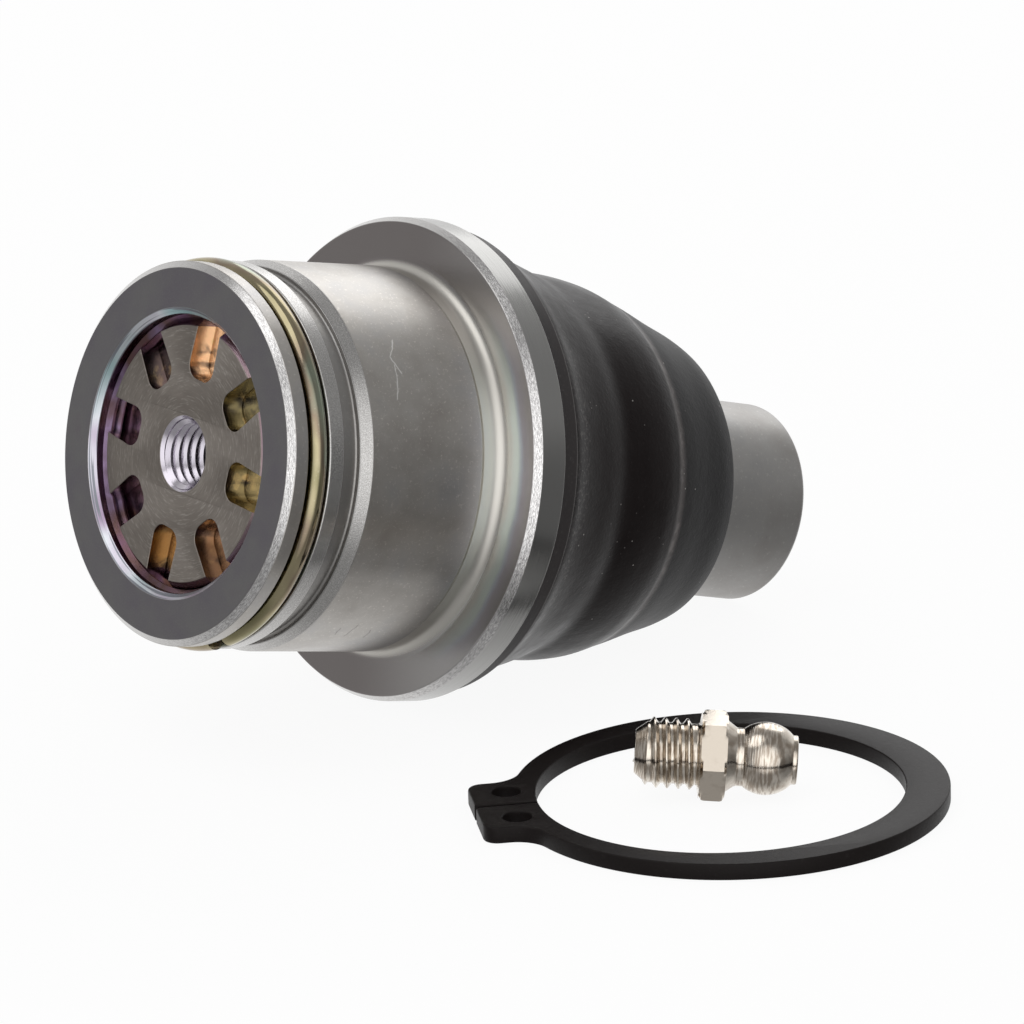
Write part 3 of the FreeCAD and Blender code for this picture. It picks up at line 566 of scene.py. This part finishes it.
cap = {
    "face": 1.0, "thick": 6.4, "rimR": 12.35, "edge": 0.1, "chamfer": 0.95,
    "slots": 8, "slotWidth": 3.6, "slotDepth": 2.2, "slotInner": 6.85, "slotCorner": 1.3,
    "slotAngle": 5.7, "mouthR": 3.4, "threadRootR": 3.12, "countersink": 0.3, "seam": 0.2, "spacing": 1.5,
    # From these radii on, the slots also get painted shade and painted reflections
    "cutRise": (4.5, 5.0),  # radii between which the slots' tints set in
    # Tints of heat and plating in the slots, with painted shade and painted reflections, by the share of
    # a turn
    "slotTintsAndShade": [
        (0.00, (0.50, 0.40, 0.42)), (0.08, (0.48, 0.37, 0.36)), (0.14, (0.17, 0.17, 0.16)),
        (0.22, (0.86, 0.66, 0.48)), (0.31, (0.84, 0.64, 0.50)), (0.36, (0.40, 0.36, 0.25)),
        (0.56, (0.44, 0.38, 0.25)), (0.63, (0.36, 0.27, 0.24)), (0.74, (0.60, 0.42, 0.22)),
        (0.80, (0.52, 0.37, 0.22)), (0.88, (0.42, 0.33, 0.32)),
    ],
}


def slottedOutline():
    size = cap
    half = size["slotWidth"] / 2
    spread = degrees(asin(half / size["rimR"]))
    pitch = 360 / size["slots"]
    middle, side = size["slotInner"] + size["slotCorner"], half - size["slotCorner"]
    end = arcPoints((middle, -side), size["slotCorner"], 270, 180, 12)
    end += arcPoints((middle, side), size["slotCorner"], 180, 90, 12)
    outline = []
    for number in range(size["slots"]):
        angle = size["slotAngle"] + number * pitch
        turn = Matrix.Rotation(radians(angle), 2)
        outline += [turn @ Vector(point) for point in end]
        outline += arcPoints((0, 0), size["rimR"], angle + spread, angle + pitch - spread)
    return outline


def capBodyOutline():
    size = cap
    seamR = size["mouthR"] + size["seam"]
    face = size["face"]
    floor, back = face + size["slotDepth"], face + size["thick"]
    corners = [
        (seamR, face + 0.06, 0), (size["mouthR"], face + 0.02, 0.03),
        (size["threadRootR"], face + size["countersink"], 0.05),
        (size["threadRootR"], back, 0.05), (size["rimR"], back, size["edge"]),
        (size["rimR"], floor, 0.05), (seamR, floor, 0),
    ]
    return denser(roundCorners(corners), size["spacing"])


def capFinish(at):
    # Grey-brown turned face, with the tints of heat and plating down in the slots, and painted shade and
    # painted reflections there
    size = cap
    lines = at.turning(0.9, 6.0).noise(1.0, 2.0, 0.7)
    coarse = at.turning(0.5, 1.6).noise(1.0, 2.0, 0.6)
    hole = 1 - at.radius.rise(size["mouthR"] - 0.05, size["mouthR"] + 0.05)
    cut = at.depth.rise(size["face"] + 0.04, size["face"] + 0.12) * at.radius.rise(*size["cutRise"])
    rimStart = size["rimR"] - size["chamfer"]
    rim = at.radius.rise(rimStart, rimStart + 0.08)
    patches = at.vector.scaled((0.6, 0.6, 0.25)).noise(0.9, 2.0, 0.6)
    # The slots' colour by angle mixes tints of heat and plating with painted shade and painted
    # reflections; the dark patches are painted shade
    tones = layered(
        (at.angle / (2 * pi) + 0.5).ramp(size["slotTintsAndShade"]),
        (patches.rise(0.52, 0.64) * 0.7, (0.09, 0.085, 0.095)),
        (at.noise(0.7, 2.0).rise(0.58, 0.68) * 0.6, (0.74, 0.60, 0.38)),
    )
    colour = layered(
        coarse.tint((0.20, 0.175, 0.155), (0.285, 0.255, 0.225)),
        (lines.rise(0.53, 0.68) * 0.5, (0.46, 0.43, 0.39)),
        (cut * (1 - rim), tones),
        (rim * 0.85, at.noise(0.3, 2.0).tint((0.20, 0.12, 0.20), (0.30, 0.22, 0.20))),
        (hole, at.noise(0.5, 2.0).tint((0.50, 0.47, 0.55), (0.66, 0.62, 0.66))),
    )
    roughness = cut.blendTo(hole.blendTo(lines.blendTo(0.34, 0.46), 0.2), 0.18)
    return colour, roughness, lines * 1.1 + coarse * 0.8, 0.012


capMetal = makeMaterial("capMetal", housingPlace, capFinish)
capTop = plate(
    "capTop", [slottedOutline(), arcPoints((0, 0), cap["mouthR"], 0, 357)], cap["slotDepth"],
    cap["edge"], cap["face"], housingPlace, capMetal, (cap["rimR"] - cap["chamfer"], cap["chamfer"]),
)
capBody = turned("capBody", capBodyOutline(), housingPlace, capMetal, segments=192)


# Helical ridges, which make the threads

ridgeInputs = {
    "Float": ("Turns", "Pitch", "Root radius", "Height", "Base width", "Crest width", "Fade"),
    "Int": ("Steps a turn",),
}


def treeWithInputs(name, inputs):
    # A Geometry Nodes tree with labelled inputs and a finish, and a wire from each of them
    tree = bpy.data.node_groups.new(name, "GeometryNodeTree")
    tree.interface.new_socket(name="Geometry", in_out="OUTPUT", socket_type="NodeSocketGeometry")
    labels = [(label, kind) for kind in inputs for label in inputs[kind]] + [("Finish", "Material")]
    for label, kind in labels:
        tree.interface.new_socket(name=label, in_out="INPUT", socket_type="NodeSocket" + kind)
    start = Wire(tree)
    return start, {label: start.node("NodeGroupInput", output=label) for label, _ in labels}


def sweptTree(path, section, finish, scale=1.0):
    # Ends a tree with a section that follows a path
    sweep = {"Curve": path, "Profile Curve": section, "Scale": scale, "Fill Caps": True}
    solid = path.node("GeometryNodeCurveToMesh", sweep)
    real = path.node("GeometryNodeRealizeInstances", {"Geometry": solid})
    dressed = path.node("GeometryNodeSetMaterial", {"Geometry": real, "Material": finish})
    path.node("NodeGroupOutput", {0: dressed})
    return path.tree


def makeRidgeTree():
    # A trapezoid profile follows a right-handed spiral and fades in and out at its ends
    start, given = treeWithInputs("helicalRidge", ridgeInputs)
    height, turns = given["Height"], given["Turns"]
    path = {
        "Resolution": given["Steps a turn"], "Rotations": turns, "Height": turns * given["Pitch"],
        "Start Radius": given["Root radius"], "End Radius": given["Root radius"], "Reverse": True,
    }
    spiral = start.node("GeometryNodeCurveSpiral", path)
    upright = start.node("GeometryNodeSetCurveNormal", {"Curve": spiral}, mode="Z_UP")
    factor = start.node("GeometryNodeSplineParameter", output="Factor")
    fade = given["Fade"] / turns
    size = (factor / fade).math("MINIMUM", (1 - factor) / fade)
    size = size.math("MINIMUM", 1.0).math("MAXIMUM", 0.02)
    section = {
        "Height": height.math("ABSOLUTE"), "Bottom Width": given["Base width"],
        "Top Width": given["Crest width"], "Offset": 0.0,
    }
    profile = start.node("GeometryNodeCurvePrimitiveQuadrilateral", section, mode="TRAPEZOID")
    middle = start.node("ShaderNodeCombineXYZ", {0: height * 0.5})
    quarter = start.node("ShaderNodeCombineXYZ", {2: height.math("SIGN") * (-pi / 2)})
    moved = {"Geometry": profile, "Rotation": quarter, "Translation": middle}
    profile = start.node("GeometryNodeTransform", moved)
    return sweptTree(upright, profile, given["Finish"], size)


def grow(name, tree, values, place, material):
    # Runs a tree, its inputs set by identifier, and keeps the result as a plain mesh at a depth
    seed = placed(name + "Seed", bpy.data.meshes.new(name + "Seed"))
    modifier = seed.modifiers.new("grow", "NODES")
    modifier.node_group = tree
    for item in tree.interface.items_tree:
        if item.in_out == "INPUT":
            modifier[item.identifier] = material if item.name == "Finish" else values[item.name]
    data = evaluated(name, seed)
    data.transform(Matrix.Translation((0, 0, values["Depth"])))
    return finishMesh(name, data, place, material)


ridgeTree = makeRidgeTree()
ridgeSink = 0.03  # how far the foot of a ridge lies inside the metal
threads = {
    "capHole": {
        "Turns": 6.2, "Pitch": 0.907, "Root radius": cap["threadRootR"] + ridgeSink,
        "Height": -0.42, "Base width": 0.82, "Crest width": 0.12, "Fade": 0.25,
        "Steps a turn": 96, "Depth": cap["face"] + 0.35,
    },
    "bore": {
        "Turns": 5.0, "Pitch": 1.0, "Root radius": housing["boreR"] + ridgeSink,
        "Height": -0.5, "Base width": 0.9, "Crest width": 0.15, "Fade": 0.3,
        "Steps a turn": 180, "Depth": cap["face"] + 0.25,
    },
}
capThread = grow("capThread", ridgeTree, threads["capHole"], housingPlace, capMetal)
capSkin = joined("capSkin", [capTop, capBody, capThread])
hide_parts("adjuster_cap")
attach(capSkin, "root")

boreThread = grow("boreThread", ridgeTree, threads["bore"], housingPlace, zinc)
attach(boreThread, "root")
print("cap and threads made")


# Wire ring

wireRing = {
    "outerR": 17.5, "wireR": 0.9, "depth": 3.17, "gapAngle": 7.0, "placeAngle": 66.0,
    "pathSteps": 360, "sectionSteps": 32,
    "hueMiddle": 18.6,  # where the tints are in the middle of their range across the section
}


def makeWireTree():
    start, given = treeWithInputs("openRing", {"Float": ("Radius", "Wire", "Start", "Sweep")})
    arc = {
        "Resolution": wireRing["pathSteps"], "Radius": given["Radius"],
        "Start Angle": given["Start"], "Sweep Angle": given["Sweep"],
    }
    path = start.node("GeometryNodeCurveArc", arc)
    circle = {"Resolution": wireRing["sectionSteps"], "Radius": given["Wire"]}
    section = start.node("GeometryNodeCurvePrimitiveCircle", circle)
    return sweptTree(path, section, given["Finish"])


def wireFinish(at):
    # Olive and gold chromate on drawn spring wire
    section = at.radius + at.depth * 0.8
    hue = at.vector.scaled((0.12, 0.12, 0.5)).noise(1.0, 2.0, 0.5)
    colour = (hue + (section - wireRing["hueMiddle"]) * 0.12).ramp(
        [
            (0.25, (0.13, 0.12, 0.065)), (0.42, (0.24, 0.22, 0.12)), (0.54, (0.40, 0.35, 0.22)),
            (0.66, (0.28, 0.22, 0.16)), (0.8, (0.27, 0.30, 0.23)),
        ]
    )
    streak = at.vector.scaled((0.3, 0.3, 7.0)).noise(1.0, 2.0)
    grain = at.noise(5.0, 2.0)
    colour = (grain.rise(0.6, 0.8) * 0.3).tint(colour, (0.60, 0.57, 0.46))
    return colour, streak.blendTo(0.06, 0.15), streak + grain * 0.3, 0.006


olive = makeMaterial("oliveChromate", housingPlace, wireFinish)
wirePath = {
    "Radius": wireRing["outerR"] - wireRing["wireR"], "Wire": wireRing["wireR"],
    "Start": radians(wireRing["placeAngle"] + wireRing["gapAngle"] / 2),
    "Sweep": radians(360 - wireRing["gapAngle"]), "Depth": wireRing["depth"],
}
wireSkin = grow("wireSkin", makeWireTree(), wirePath, housingPlace, olive)
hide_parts("wire_ring")
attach(wireSkin, "root")
print("wire ring made")


# Boot and its two rings

boot = {
    "start": 28.85, "ridge": 45.1, "end": 54.5, "endDrop": 1.4, "wall": 1.9, "endWall": 1.8,
    "holeR": 10.9, "holeDrop": 2.4, "spacing": 0.6,
    "skirt": [
        (28.85, 21.1), (29.6, 20.85), (31.0, 20.15), (33.0, 19.4), (35.2, 18.75), (37.2, 18.2),
        (39.0, 18.0), (41.0, 17.85), (43.0, 17.55), (44.4, 17.15), (45.1, 16.88),
    ],
    "cone": [(45.1, 16.88), (47.0, 16.28), (50.0, 15.2), (52.6, 14.35), (54.15, 13.7)],
    "waist": 37.4, "waistRun": 1.5, "waistDepth": 0.16, "waistSway": 0.10,
    # Unevenness round the boot: height, waves in a turn and start in radians
    "waves": ((0.10, 2, 0.7), (0.05, 3, 2.1), (0.03, 5, 0.0)),
    "dust": (29.4, 31.2),
}


def throughPoints(points, steps=6):
    # A smooth line through points (Catmull-Rom)
    knots = np.array([points[0], *points, points[-1]], float)
    line = []
    for index in range(1, len(knots) - 2):
        before, start, stop, after = knots[index - 1 : index + 3]
        square = 2 * before - 5 * start + 4 * stop - after
        cube = 3 * start - before - 3 * stop + after
        for t in np.arange(steps) / steps:
            line.append((2 * start + (stop - before) * t + square * t**2 + cube * t**3) / 2)
    return np.array([*line, knots[-2]])


def bootOutline():
    size = boot
    outer = np.vstack((throughPoints(size["skirt"])[:-1], throughPoints(size["cone"])))[:, ::-1]
    lastR, last = outer[-1]
    inside = size["end"] - size["endWall"]
    corners = [
        (lastR, last, 0), (lastR - 0.2, size["end"], 0.25), (size["holeR"], size["end"], 0.3),
        (size["holeR"], inside, 0.1), (lastR - size["wall"], inside, 0),
    ]
    lip = roundCorners(corners, closed=False)
    inner = outer[::-1] - np.array((size["wall"], 0))
    inner = inner[inner[:, 1] < inside - 0.3]
    return denser(np.vstack((outer[:-1], lip[1:-1], inner)), size["spacing"])


def hangingBoot(radius, depth, angle):
    # The small end hangs with the stud, and the rubber is a little uneven
    size = boot
    share = np.clip((depth - size["start"]) / (size["end"] - size["start"]), 0, 1)
    atHole = np.clip((size["holeR"] + 1.6 - radius) / 1.4, 0, 1) * (share > 0.9)
    drop = size["endDrop"] * share**1.5 + (size["holeDrop"] - size["endDrop"]) * atHole
    waist = np.exp(-(((depth - size["waist"]) / size["waistRun"]) ** 2))
    waist = waist * (size["waistDepth"] + size["waistSway"] * np.sin(angle - 0.4))
    wave = sum(height * np.sin(count * angle + start) for height, count, start in size["waves"])
    return radius - waist + np.sin(pi * share) * wave, drop


def rubberFinish(at):
    # Satin black rubber with a brown cast, dust near the base, a few scuffs and a painted highlight along
    # the ridge
    size = boot
    cloud = at.noise(0.16, 4.0, 0.6)
    grain = at.noise(3.2, 4.0, 0.65)
    speck = at.vector.node("ShaderNodeTexVoronoi", {"Vector": at.vector, "Scale": 1.1})
    speck = (1 - speck.rise(0.05, 0.11)) * at.noise(0.4, 2.0).rise(0.52, 0.66)
    cone = at.depth.rise(size["ridge"] - 0.2, size["ridge"] + 1.4)
    dusty = at.depth.band(*size["dust"], 0.9) * at.noise(2.6, 4.0, 0.75).rise(0.5, 0.68)
    ridge = at.depth.band(size["ridge"] - 0.25, size["ridge"] + 0.45, 0.45)
    # Noise that breaks up the painted highlight on the ridge
    wearAndSheen = at.noise(0.7, 3.0, 0.6).rise(0.45, 0.7)
    colour = layered(
        cloud.tint((0.006, 0.004, 0.004), (0.012, 0.0085, 0.0085)),
        (cone * 0.8, (0.010, 0.010, 0.011)),
        # A painted highlight along the ridge
        (ridge * (wearAndSheen * 0.5 + 0.45), (0.155, 0.14, 0.135)),
        (dusty * 0.45, (0.17, 0.16, 0.15)),
        (speck * 0.8, (0.40, 0.38, 0.36)),
        (grain.rise(0.6, 0.8) * 0.25, (0.07, 0.06, 0.06)),
    )
    roughness = cone.blendTo(cloud.rise(0.3, 0.7).blendTo(0.27, 0.40), 0.42)
    return colour, roughness, grain * 0.7 + at.noise(0.8, 3.0) * 2.0, 0.018


rubber = makeMaterial("bootRubber", housingPlace, rubberFinish, metallic=0.0, specular=0.12)
bootSkin = turned("bootSkin", bootOutline(), housingPlace, rubber, shape=hangingBoot)
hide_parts("boot")


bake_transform(bootSkin)

baseRing = {"front": 27.1, "back": 28.8, "outerR": 21.4, "innerR": 17.05, "edge": 0.12}
studRing = {"front": 32.6, "back": 34.5, "outerR": 10.6, "innerR": 9.15, "edge": 0.15}


def ringOutline(size):
    inner, outer, front, back = (size[key] for key in ("innerR", "outerR", "front", "back"))
    corners = ((inner, front), (outer, front), (outer, back), (inner, back))
    return roundCorners([(*corner, size["edge"]) for corner in corners])


def coatedFinish(at):
    # Dark coated steel with a paler back edge, painted as a highlight
    size = baseRing
    lines = at.turning(0.3, 4.0).noise(1.0, 2.0)
    grain = at.noise(4.0, 3.0, 0.7)
    edge = at.radius.rise(size["outerR"] - 0.1, size["outerR"] - 0.02)
    edge = edge * at.depth.rise(size["back"] - 0.2, size["back"] - 0.05)
    colour = grain.rise(0.55, 0.8).tint((0.018, 0.014, 0.014), (0.06, 0.052, 0.05))
    # A painted highlight along the outer back edge
    colour = (edge * 0.5).tint(colour, (0.16, 0.15, 0.145))
    return colour, lines.blendTo(0.42, 0.56), lines + grain * 0.5, 0.012


coated = makeMaterial("coatedSteel", housingPlace, coatedFinish, metallic=0.0)
baseRingSkin = turned("baseRingSkin", ringOutline(baseRing), housingPlace, coated)
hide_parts("boot_base_ring")
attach(baseRingSkin, "root")


# Stud

stud = {
    "ballR": 10.96, "flat": 10.3, "neckR": 7.0, "neckFillet": 0.8, "neckEnd": 14.5, "coneEnd": 20.5,
    "journalR": 9.1, "journalEnd": 34.8, "shankR": 9.3, "end": 47.5, "endRound": 0.45,
    "spacing": 1.5,
}


def studOutline():
    size = stud
    filletR = size["neckR"] + size["neckFillet"]
    reach = sqrt((size["ballR"] + size["neckFillet"]) ** 2 - filletR**2)
    low = -degrees(asin(size["flat"] / size["ballR"]))
    high = degrees(atan2(reach, filletR))
    ball = arcPoints((0, 0), size["ballR"], low, high, 5)
    fillet = arcPoints((filletR, reach), size["neckFillet"], high + 180, 180, 10)
    corners = [
        (size["neckR"], size["neckEnd"], 0), (size["journalR"], size["coneEnd"], 0.3),
        (size["journalR"], size["journalEnd"], 0), (size["shankR"], size["journalEnd"], 0.05),
        (size["shankR"], size["end"], size["endRound"]), (0, size["end"], 0),
    ]
    shank = roundCorners(corners, closed=False)
    line = np.vstack(([(0, -size["flat"])], ball, fillet[1:], shank))
    return denser(line, size["spacing"], closed=False)


def studFinish(at):
    # Satin plated steel, speckled, with fine turning marks
    cloud = at.noise(0.14, 4.0, 0.6)
    grain = at.noise(6.0, 3.0, 0.65)
    speck = at.noise(2.6, 4.0, 0.75)
    lines = at.turning(0.4, 6.0).noise(1.0, 2.0)
    tones = [(0.3, (0.33, 0.315, 0.30)), (0.55, (0.39, 0.38, 0.37)), (0.75, (0.35, 0.345, 0.34))]
    colour = layered(
        cloud.ramp(tones),
        (speck.rise(0.58, 0.7) * 0.5, (0.62, 0.60, 0.57)),
        ((1 - speck.rise(0.27, 0.38)) * 0.5, (0.26, 0.245, 0.235)),
    )
    return colour, grain.blendTo(0.38, 0.5), grain * 0.6 + lines * 0.4, 0.012


satin = makeMaterial("satinSteel", studPlace, studFinish)
studSkin = turned("studSkin", studOutline(), studPlace, satin, segments=192, closed=False)
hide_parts("ball_stud")
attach(studSkin, "stud")


def brightFinish(at):
    scratches = at.turning(0.5, 5.0).noise(1.0, 2.0)
    colour = scratches.tint((0.62, 0.60, 0.56), (0.82, 0.79, 0.74))
    return colour, scratches.blendTo(0.2, 0.34), scratches, 0.008


bright = makeMaterial("brightSteel", studPlace, brightFinish)
studRingSkin = turned("studRingSkin", ringOutline(studRing), studPlace, bright, segments=160)
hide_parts("boot_stud_ring")
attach(studRingSkin, "swing_head")
print("boot and stud made")


# Retaining ring

clip = {
    "innerR": 16.1, "outerR": 19.1, "shift": 0.9, "thick": 1.5, "gap": 0.4, "edge": 0.16,
    "holeDepth": 2.3, "holeSide": 3.2, "holeR": 1.3, "lugTip": 3.2, "lugWidth": 5.4,
    "lugCorner": 1.3, "lugBlend": 3.0, "tipCut": 0.3,
}


def clipOutline():
    # One lug and its half of the ring, then the mirror image
    size = clip
    slit = size["gap"] / 2
    side = size["lugWidth"] + slit
    tip = size["innerR"] + size["holeDepth"] + size["lugTip"]
    blendY = side + size["lugBlend"]
    blendX = sqrt((size["outerR"] + size["lugBlend"]) ** 2 - blendY**2) - size["shift"]
    lean = degrees(atan2(blendY, blendX + size["shift"]))
    corner = (tip - size["lugCorner"], side - size["lugCorner"])
    insideStart = degrees(asin(slit / size["innerR"]))
    half = arcPoints((0, 0), size["innerR"], 180, insideStart, 2)
    half += [(tip - size["tipCut"], slit), (tip, slit + size["tipCut"])]
    half += arcPoints(corner, size["lugCorner"], 0, 90, 10)
    half += arcPoints((blendX, blendY), size["lugBlend"], 270, 180 + lean, 6)
    half += arcPoints((-size["shift"], 0), size["outerR"], lean, 180, 2)[1:]
    return half[::-1][1:] + [(across, -along) for across, along in half][1:]


def clipHole(side):
    middle = (clip["innerR"] + clip["holeDepth"], side * clip["holeSide"])
    return arcPoints(middle, clip["holeR"], 0, 350, 10)


def phosphateFinish(at):
    # Black-brown phosphate, slightly lighter and speckled where it is rubbed
    cloud = at.noise(0.2, 3.0, 0.6)
    grain = at.noise(5.0, 4.0, 0.75)
    rubbed = at.noise(1.6, 4.0, 0.7).rise(0.58, 0.75)
    colour = layered(
        cloud.tint((0.0075, 0.0055, 0.0052), (0.012, 0.009, 0.0085)),
        (rubbed * 0.25, (0.045, 0.04, 0.038)),
        (grain.rise(0.62, 0.8) * 0.5, (0.09, 0.085, 0.08)),
    )
    return colour, grain.blendTo(0.36, 0.54), grain, 0.02


phosphate = makeMaterial("phosphate", clipPlace, phosphateFinish, metallic=0.0, specular=0.14)
clipSkin = plate(
    "clipSkin", [clipOutline(), clipHole(1), clipHole(-1)], clip["thick"], clip["edge"], 0.0,
    clipPlace, phosphate,
)
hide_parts("circlip")
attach(clipSkin, "root")
print("retaining ring made")


# Grease fitting

fitting = {
    "threadR": 3.1, "rootR": 2.66, "pilotR": 1.9, "lead": 1.0, "threadEnd": 5.75, "runout": 0.25,
    "hex": 7.0, "hexThick": 2.25, "hexChamfer": 0.45, "neckR": 2.55, "neckCone": 0.6,
    "neckFillet": 0.5, "headR": 3.2, "headMiddle": 11.4, "tipR": 2.15, "tipRound": 0.15, "end": 14.2,
    "tipHoleR": 0.75, "seat": 13.4, "boreR": 1.2, "rearHoleR": 0.8, "rearWall": 1.0, "edge": 0.1,
    "spacing": 0.22,
}
hexBack = fitting["threadEnd"] + fitting["hexThick"]
hexCornerR = fitting["hex"] / 2 / cos(radians(30))


def fittingOutline():
    size = fitting
    edge = size["edge"]
    low = -degrees(acos(size["neckR"] / size["headR"]))
    high = degrees(acos(size["tipR"] / size["headR"]))
    head = arcPoints((0, size["headMiddle"]), size["headR"], low, high, 6)
    shank = [
        (size["boreR"], size["rearWall"], 0), (size["rearHoleR"], size["rearWall"], 0),
        (size["rearHoleR"], 0, edge), (size["pilotR"], 0, edge), (size["rootR"], size["lead"], edge),
        (size["rootR"], size["threadEnd"] - size["runout"], edge * 2),
        (hexCornerR, size["threadEnd"], 0), (hexCornerR, hexBack, 0),
        (size["neckR"] + size["neckCone"], hexBack, edge),
        (size["neckR"], hexBack + size["neckCone"] * 1.4, size["neckFillet"]),
        (*head[0], 0),
    ]
    nose = [
        (*head[-1], 0), (size["tipR"], size["end"], size["tipRound"]),
        (size["tipHoleR"], size["end"], edge), (size["tipHoleR"], size["seat"], 0),
        (size["boreR"], size["seat"] - size["boreR"] + size["tipHoleR"], 0),
    ]
    shank, nose = roundCorners(shank, closed=False), roundCorners(nose, closed=False)
    return denser(np.vstack((shank[:-1], head[:-1], nose)), size["spacing"])


def milledHexagon(radius, depth, angle):
    # The collar is cut to a hexagon with a flat facing down and with its corners chamfered
    size = fitting
    fold = np.mod(angle, pi / 3) - pi / 6
    flat = size["hex"] / 2 / np.cos(fold)
    inset = np.minimum(depth - size["threadEnd"], hexBack - depth)
    chamfer = hexCornerR - size["hexChamfer"] + np.maximum(inset, 0) * 1.9
    milled = np.minimum(radius, np.minimum(flat, chamfer))
    return np.where(inset > -1e-6, milled, radius), 0


def nickelFinish(at):
    # Bright nickel with marks from turning, left off the hexagon's flats, and from handling
    hexagon = at.depth.band(fitting["threadEnd"], hexBack, 0.02)
    lines = hexagon.blendTo(at.turning(0.7, 5.0).noise(1.0, 2.0), 0.5)
    grain = at.noise(4.0, 3.0, 0.7)
    stain = at.noise(0.8, 3.0).rise(0.5, 0.75)
    colour = lines.rise(0.38, 0.62).tint((0.38, 0.32, 0.26), (0.72, 0.66, 0.58))
    colour = (stain * 0.4).tint(colour, (0.36, 0.30, 0.25))
    return colour, lines.blendTo(0.10, 0.20), lines * 1.8 + grain * 0.6, 0.012


nickel = makeMaterial("nickel", fittingPlace, nickelFinish)
fittingBody = turned(
    "fittingBody", fittingOutline(), fittingPlace, nickel, segments=180, shape=milledHexagon
)
threadRootR = fitting["rootR"] - ridgeSink
threads["fitting"] = {
    "Turns": 4.7, "Pitch": 0.975, "Root radius": threadRootR,
    "Height": fitting["threadR"] - threadRootR, "Base width": 0.80, "Crest width": 0.12,
    "Fade": 0.35, "Steps a turn": 96, "Depth": 0.85,
}
fittingThread = grow("fittingThread", ridgeTree, threads["fitting"], fittingPlace, nickel)
fittingSkin = joined("fittingSkin", [fittingBody, fittingThread])
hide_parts("grease_fitting")
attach(fittingSkin, "root")

# The pieces inside the joint and the fitting keep their shape and get a finish
for node in ("upper_race", "lower_race", "check_ball", "check_spring"):
    finishes = frame["nodes"][node].data.materials
    finishes.clear()
    finishes.append(satin if "race" in node else bright)
print("fitting made")


# Floor, light and camera

studio = {
    "floorR": 1.6, "floorDrop": 0.02, "floorStep": 3.75, "floorWhite": 0.90, "floorSeen": 0.93,
    "room": [
        (0.0, 1.08), (0.18, 0.92), (0.36, 0.56), (0.50, 0.36), (0.60, 0.40), (0.82, 0.36),
        (0.92, 1.25), (1.0, 1.6),
    ],
    "dark": (0.787, 0.541, -0.297), "darkRise": (0.80, 0.97), "darkForce": 0.45,
    "roomTop": 2.0, "fill": 0.66,
    "lamps": {"key": (-0.10, -0.25, 0.60), "back": (-0.35, 0.45, 0.40)},
    "lampTarget": (0, 0, 0.02), "lampPower": 0.8, "lampSize": 0.5,
}
camera = {
    "fromFace": (458.772, -315.219, 172.942),
    "azimuth": 52.442, "elevation": 17.890, "roll": -1.891,
    "lens": 231.27, "sensor": 36.0, "clipStart": 0.01,
}


def makeFloor():
    # The camera sees glowing paper. Metal sees through it to the room.
    size = studio
    rim = arcPoints((0, 0), size["floorR"], 0, 360 - size["floorStep"], size["floorStep"])
    data = bpy.data.meshes.new("floor")
    points = [(across, along, -size["floorDrop"] * mm) for across, along in rim]
    data.from_pydata(points, [], [list(range(len(rim)))])
    floor = placed("floor", data)
    paper = bpy.data.materials.new("paper")
    start = clearedTree(paper)
    seen = start.node("ShaderNodeLightPath", output="Is Camera Ray")
    glossy = start.node("ShaderNodeLightPath", output="Is Glossy Ray")
    white = size["floorWhite"]
    matt = start.node("ShaderNodeBsdfDiffuse", {"Color": (white, white, white, 1)})
    glow = start.node("ShaderNodeEmission")
    clear = start.node("ShaderNodeBsdfTransparent")
    look = start.node("ShaderNodeMixShader", {0: seen * size["floorSeen"], 1: matt, 2: glow})
    look = start.node("ShaderNodeMixShader", {0: glossy, 1: look, 2: clear})
    look.node("ShaderNodeOutputMaterial", {"Surface": look})
    data.materials.append(paper)


def makeWorld():
    # White for the camera. Metal sees white behind the object, grey at the sides, a soft box
    # beside the camera and a dark patch low on the right.
    size = studio
    world = bpy.data.worlds.new("softStudio")
    direction = clearedTree(world).node("ShaderNodeTexCoord", output="Generated")
    levels = [(place, (level / size["roomTop"],) * 3) for place, level in size["room"]]
    room = (direction.facing(camera["fromFace"]) * 0.5 + 0.5).ramp(levels).part("X") * size["roomTop"]
    room = room * (1 - direction.facing(size["dark"]).rise(*size["darkRise"]) * size["darkForce"])
    seen = direction.node("ShaderNodeLightPath", output="Is Camera Ray")
    glossy = direction.node("ShaderNodeLightPath", output="Is Glossy Ray")
    strength = seen.blendTo(glossy.blendTo(size["fill"], room), 1.0)
    background = direction.node("ShaderNodeBackground", {"Color": (1, 1, 1, 1), "Strength": strength})
    background.node("ShaderNodeOutputWorld", {"Surface": background})
    bpy.context.scene.world = world


def makeLamp(name, where):
    data = bpy.data.lights.new(name, "AREA")
    data.shape = "DISK"
    data.size = studio["lampSize"]
    data.energy = studio["lampPower"]
    lamp = placed(name, data)
    lamp.location = where
    aim = Vector(studio["lampTarget"]) - Vector(where)
    lamp.rotation_euler = aim.to_track_quat("-Z", "Y").to_euler()


def makeCamera():
    data = bpy.data.cameras.new("camera")
    data.lens = camera["lens"]
    data.sensor_width = camera["sensor"]
    data.clip_start = camera["clipStart"]
    eye = placed("camera", data)
    turn = (
        Matrix.Rotation(radians(camera["azimuth"]), 4, "Z")
        @ Matrix.Rotation(radians(90 - camera["elevation"]), 4, "X")
        @ Matrix.Rotation(radians(camera["roll"]), 4, "Z")
    )
    eye.matrix_world = Matrix.Translation(faceCentre + Vector(camera["fromFace"]) * mm) @ turn
    bpy.context.scene.camera = eye


makeFloor()
makeWorld()
for name, where in studio["lamps"].items():
    makeLamp(name, where)
makeCamera()
bpy.context.scene.view_settings.view_transform = "Standard"
print("studio made")
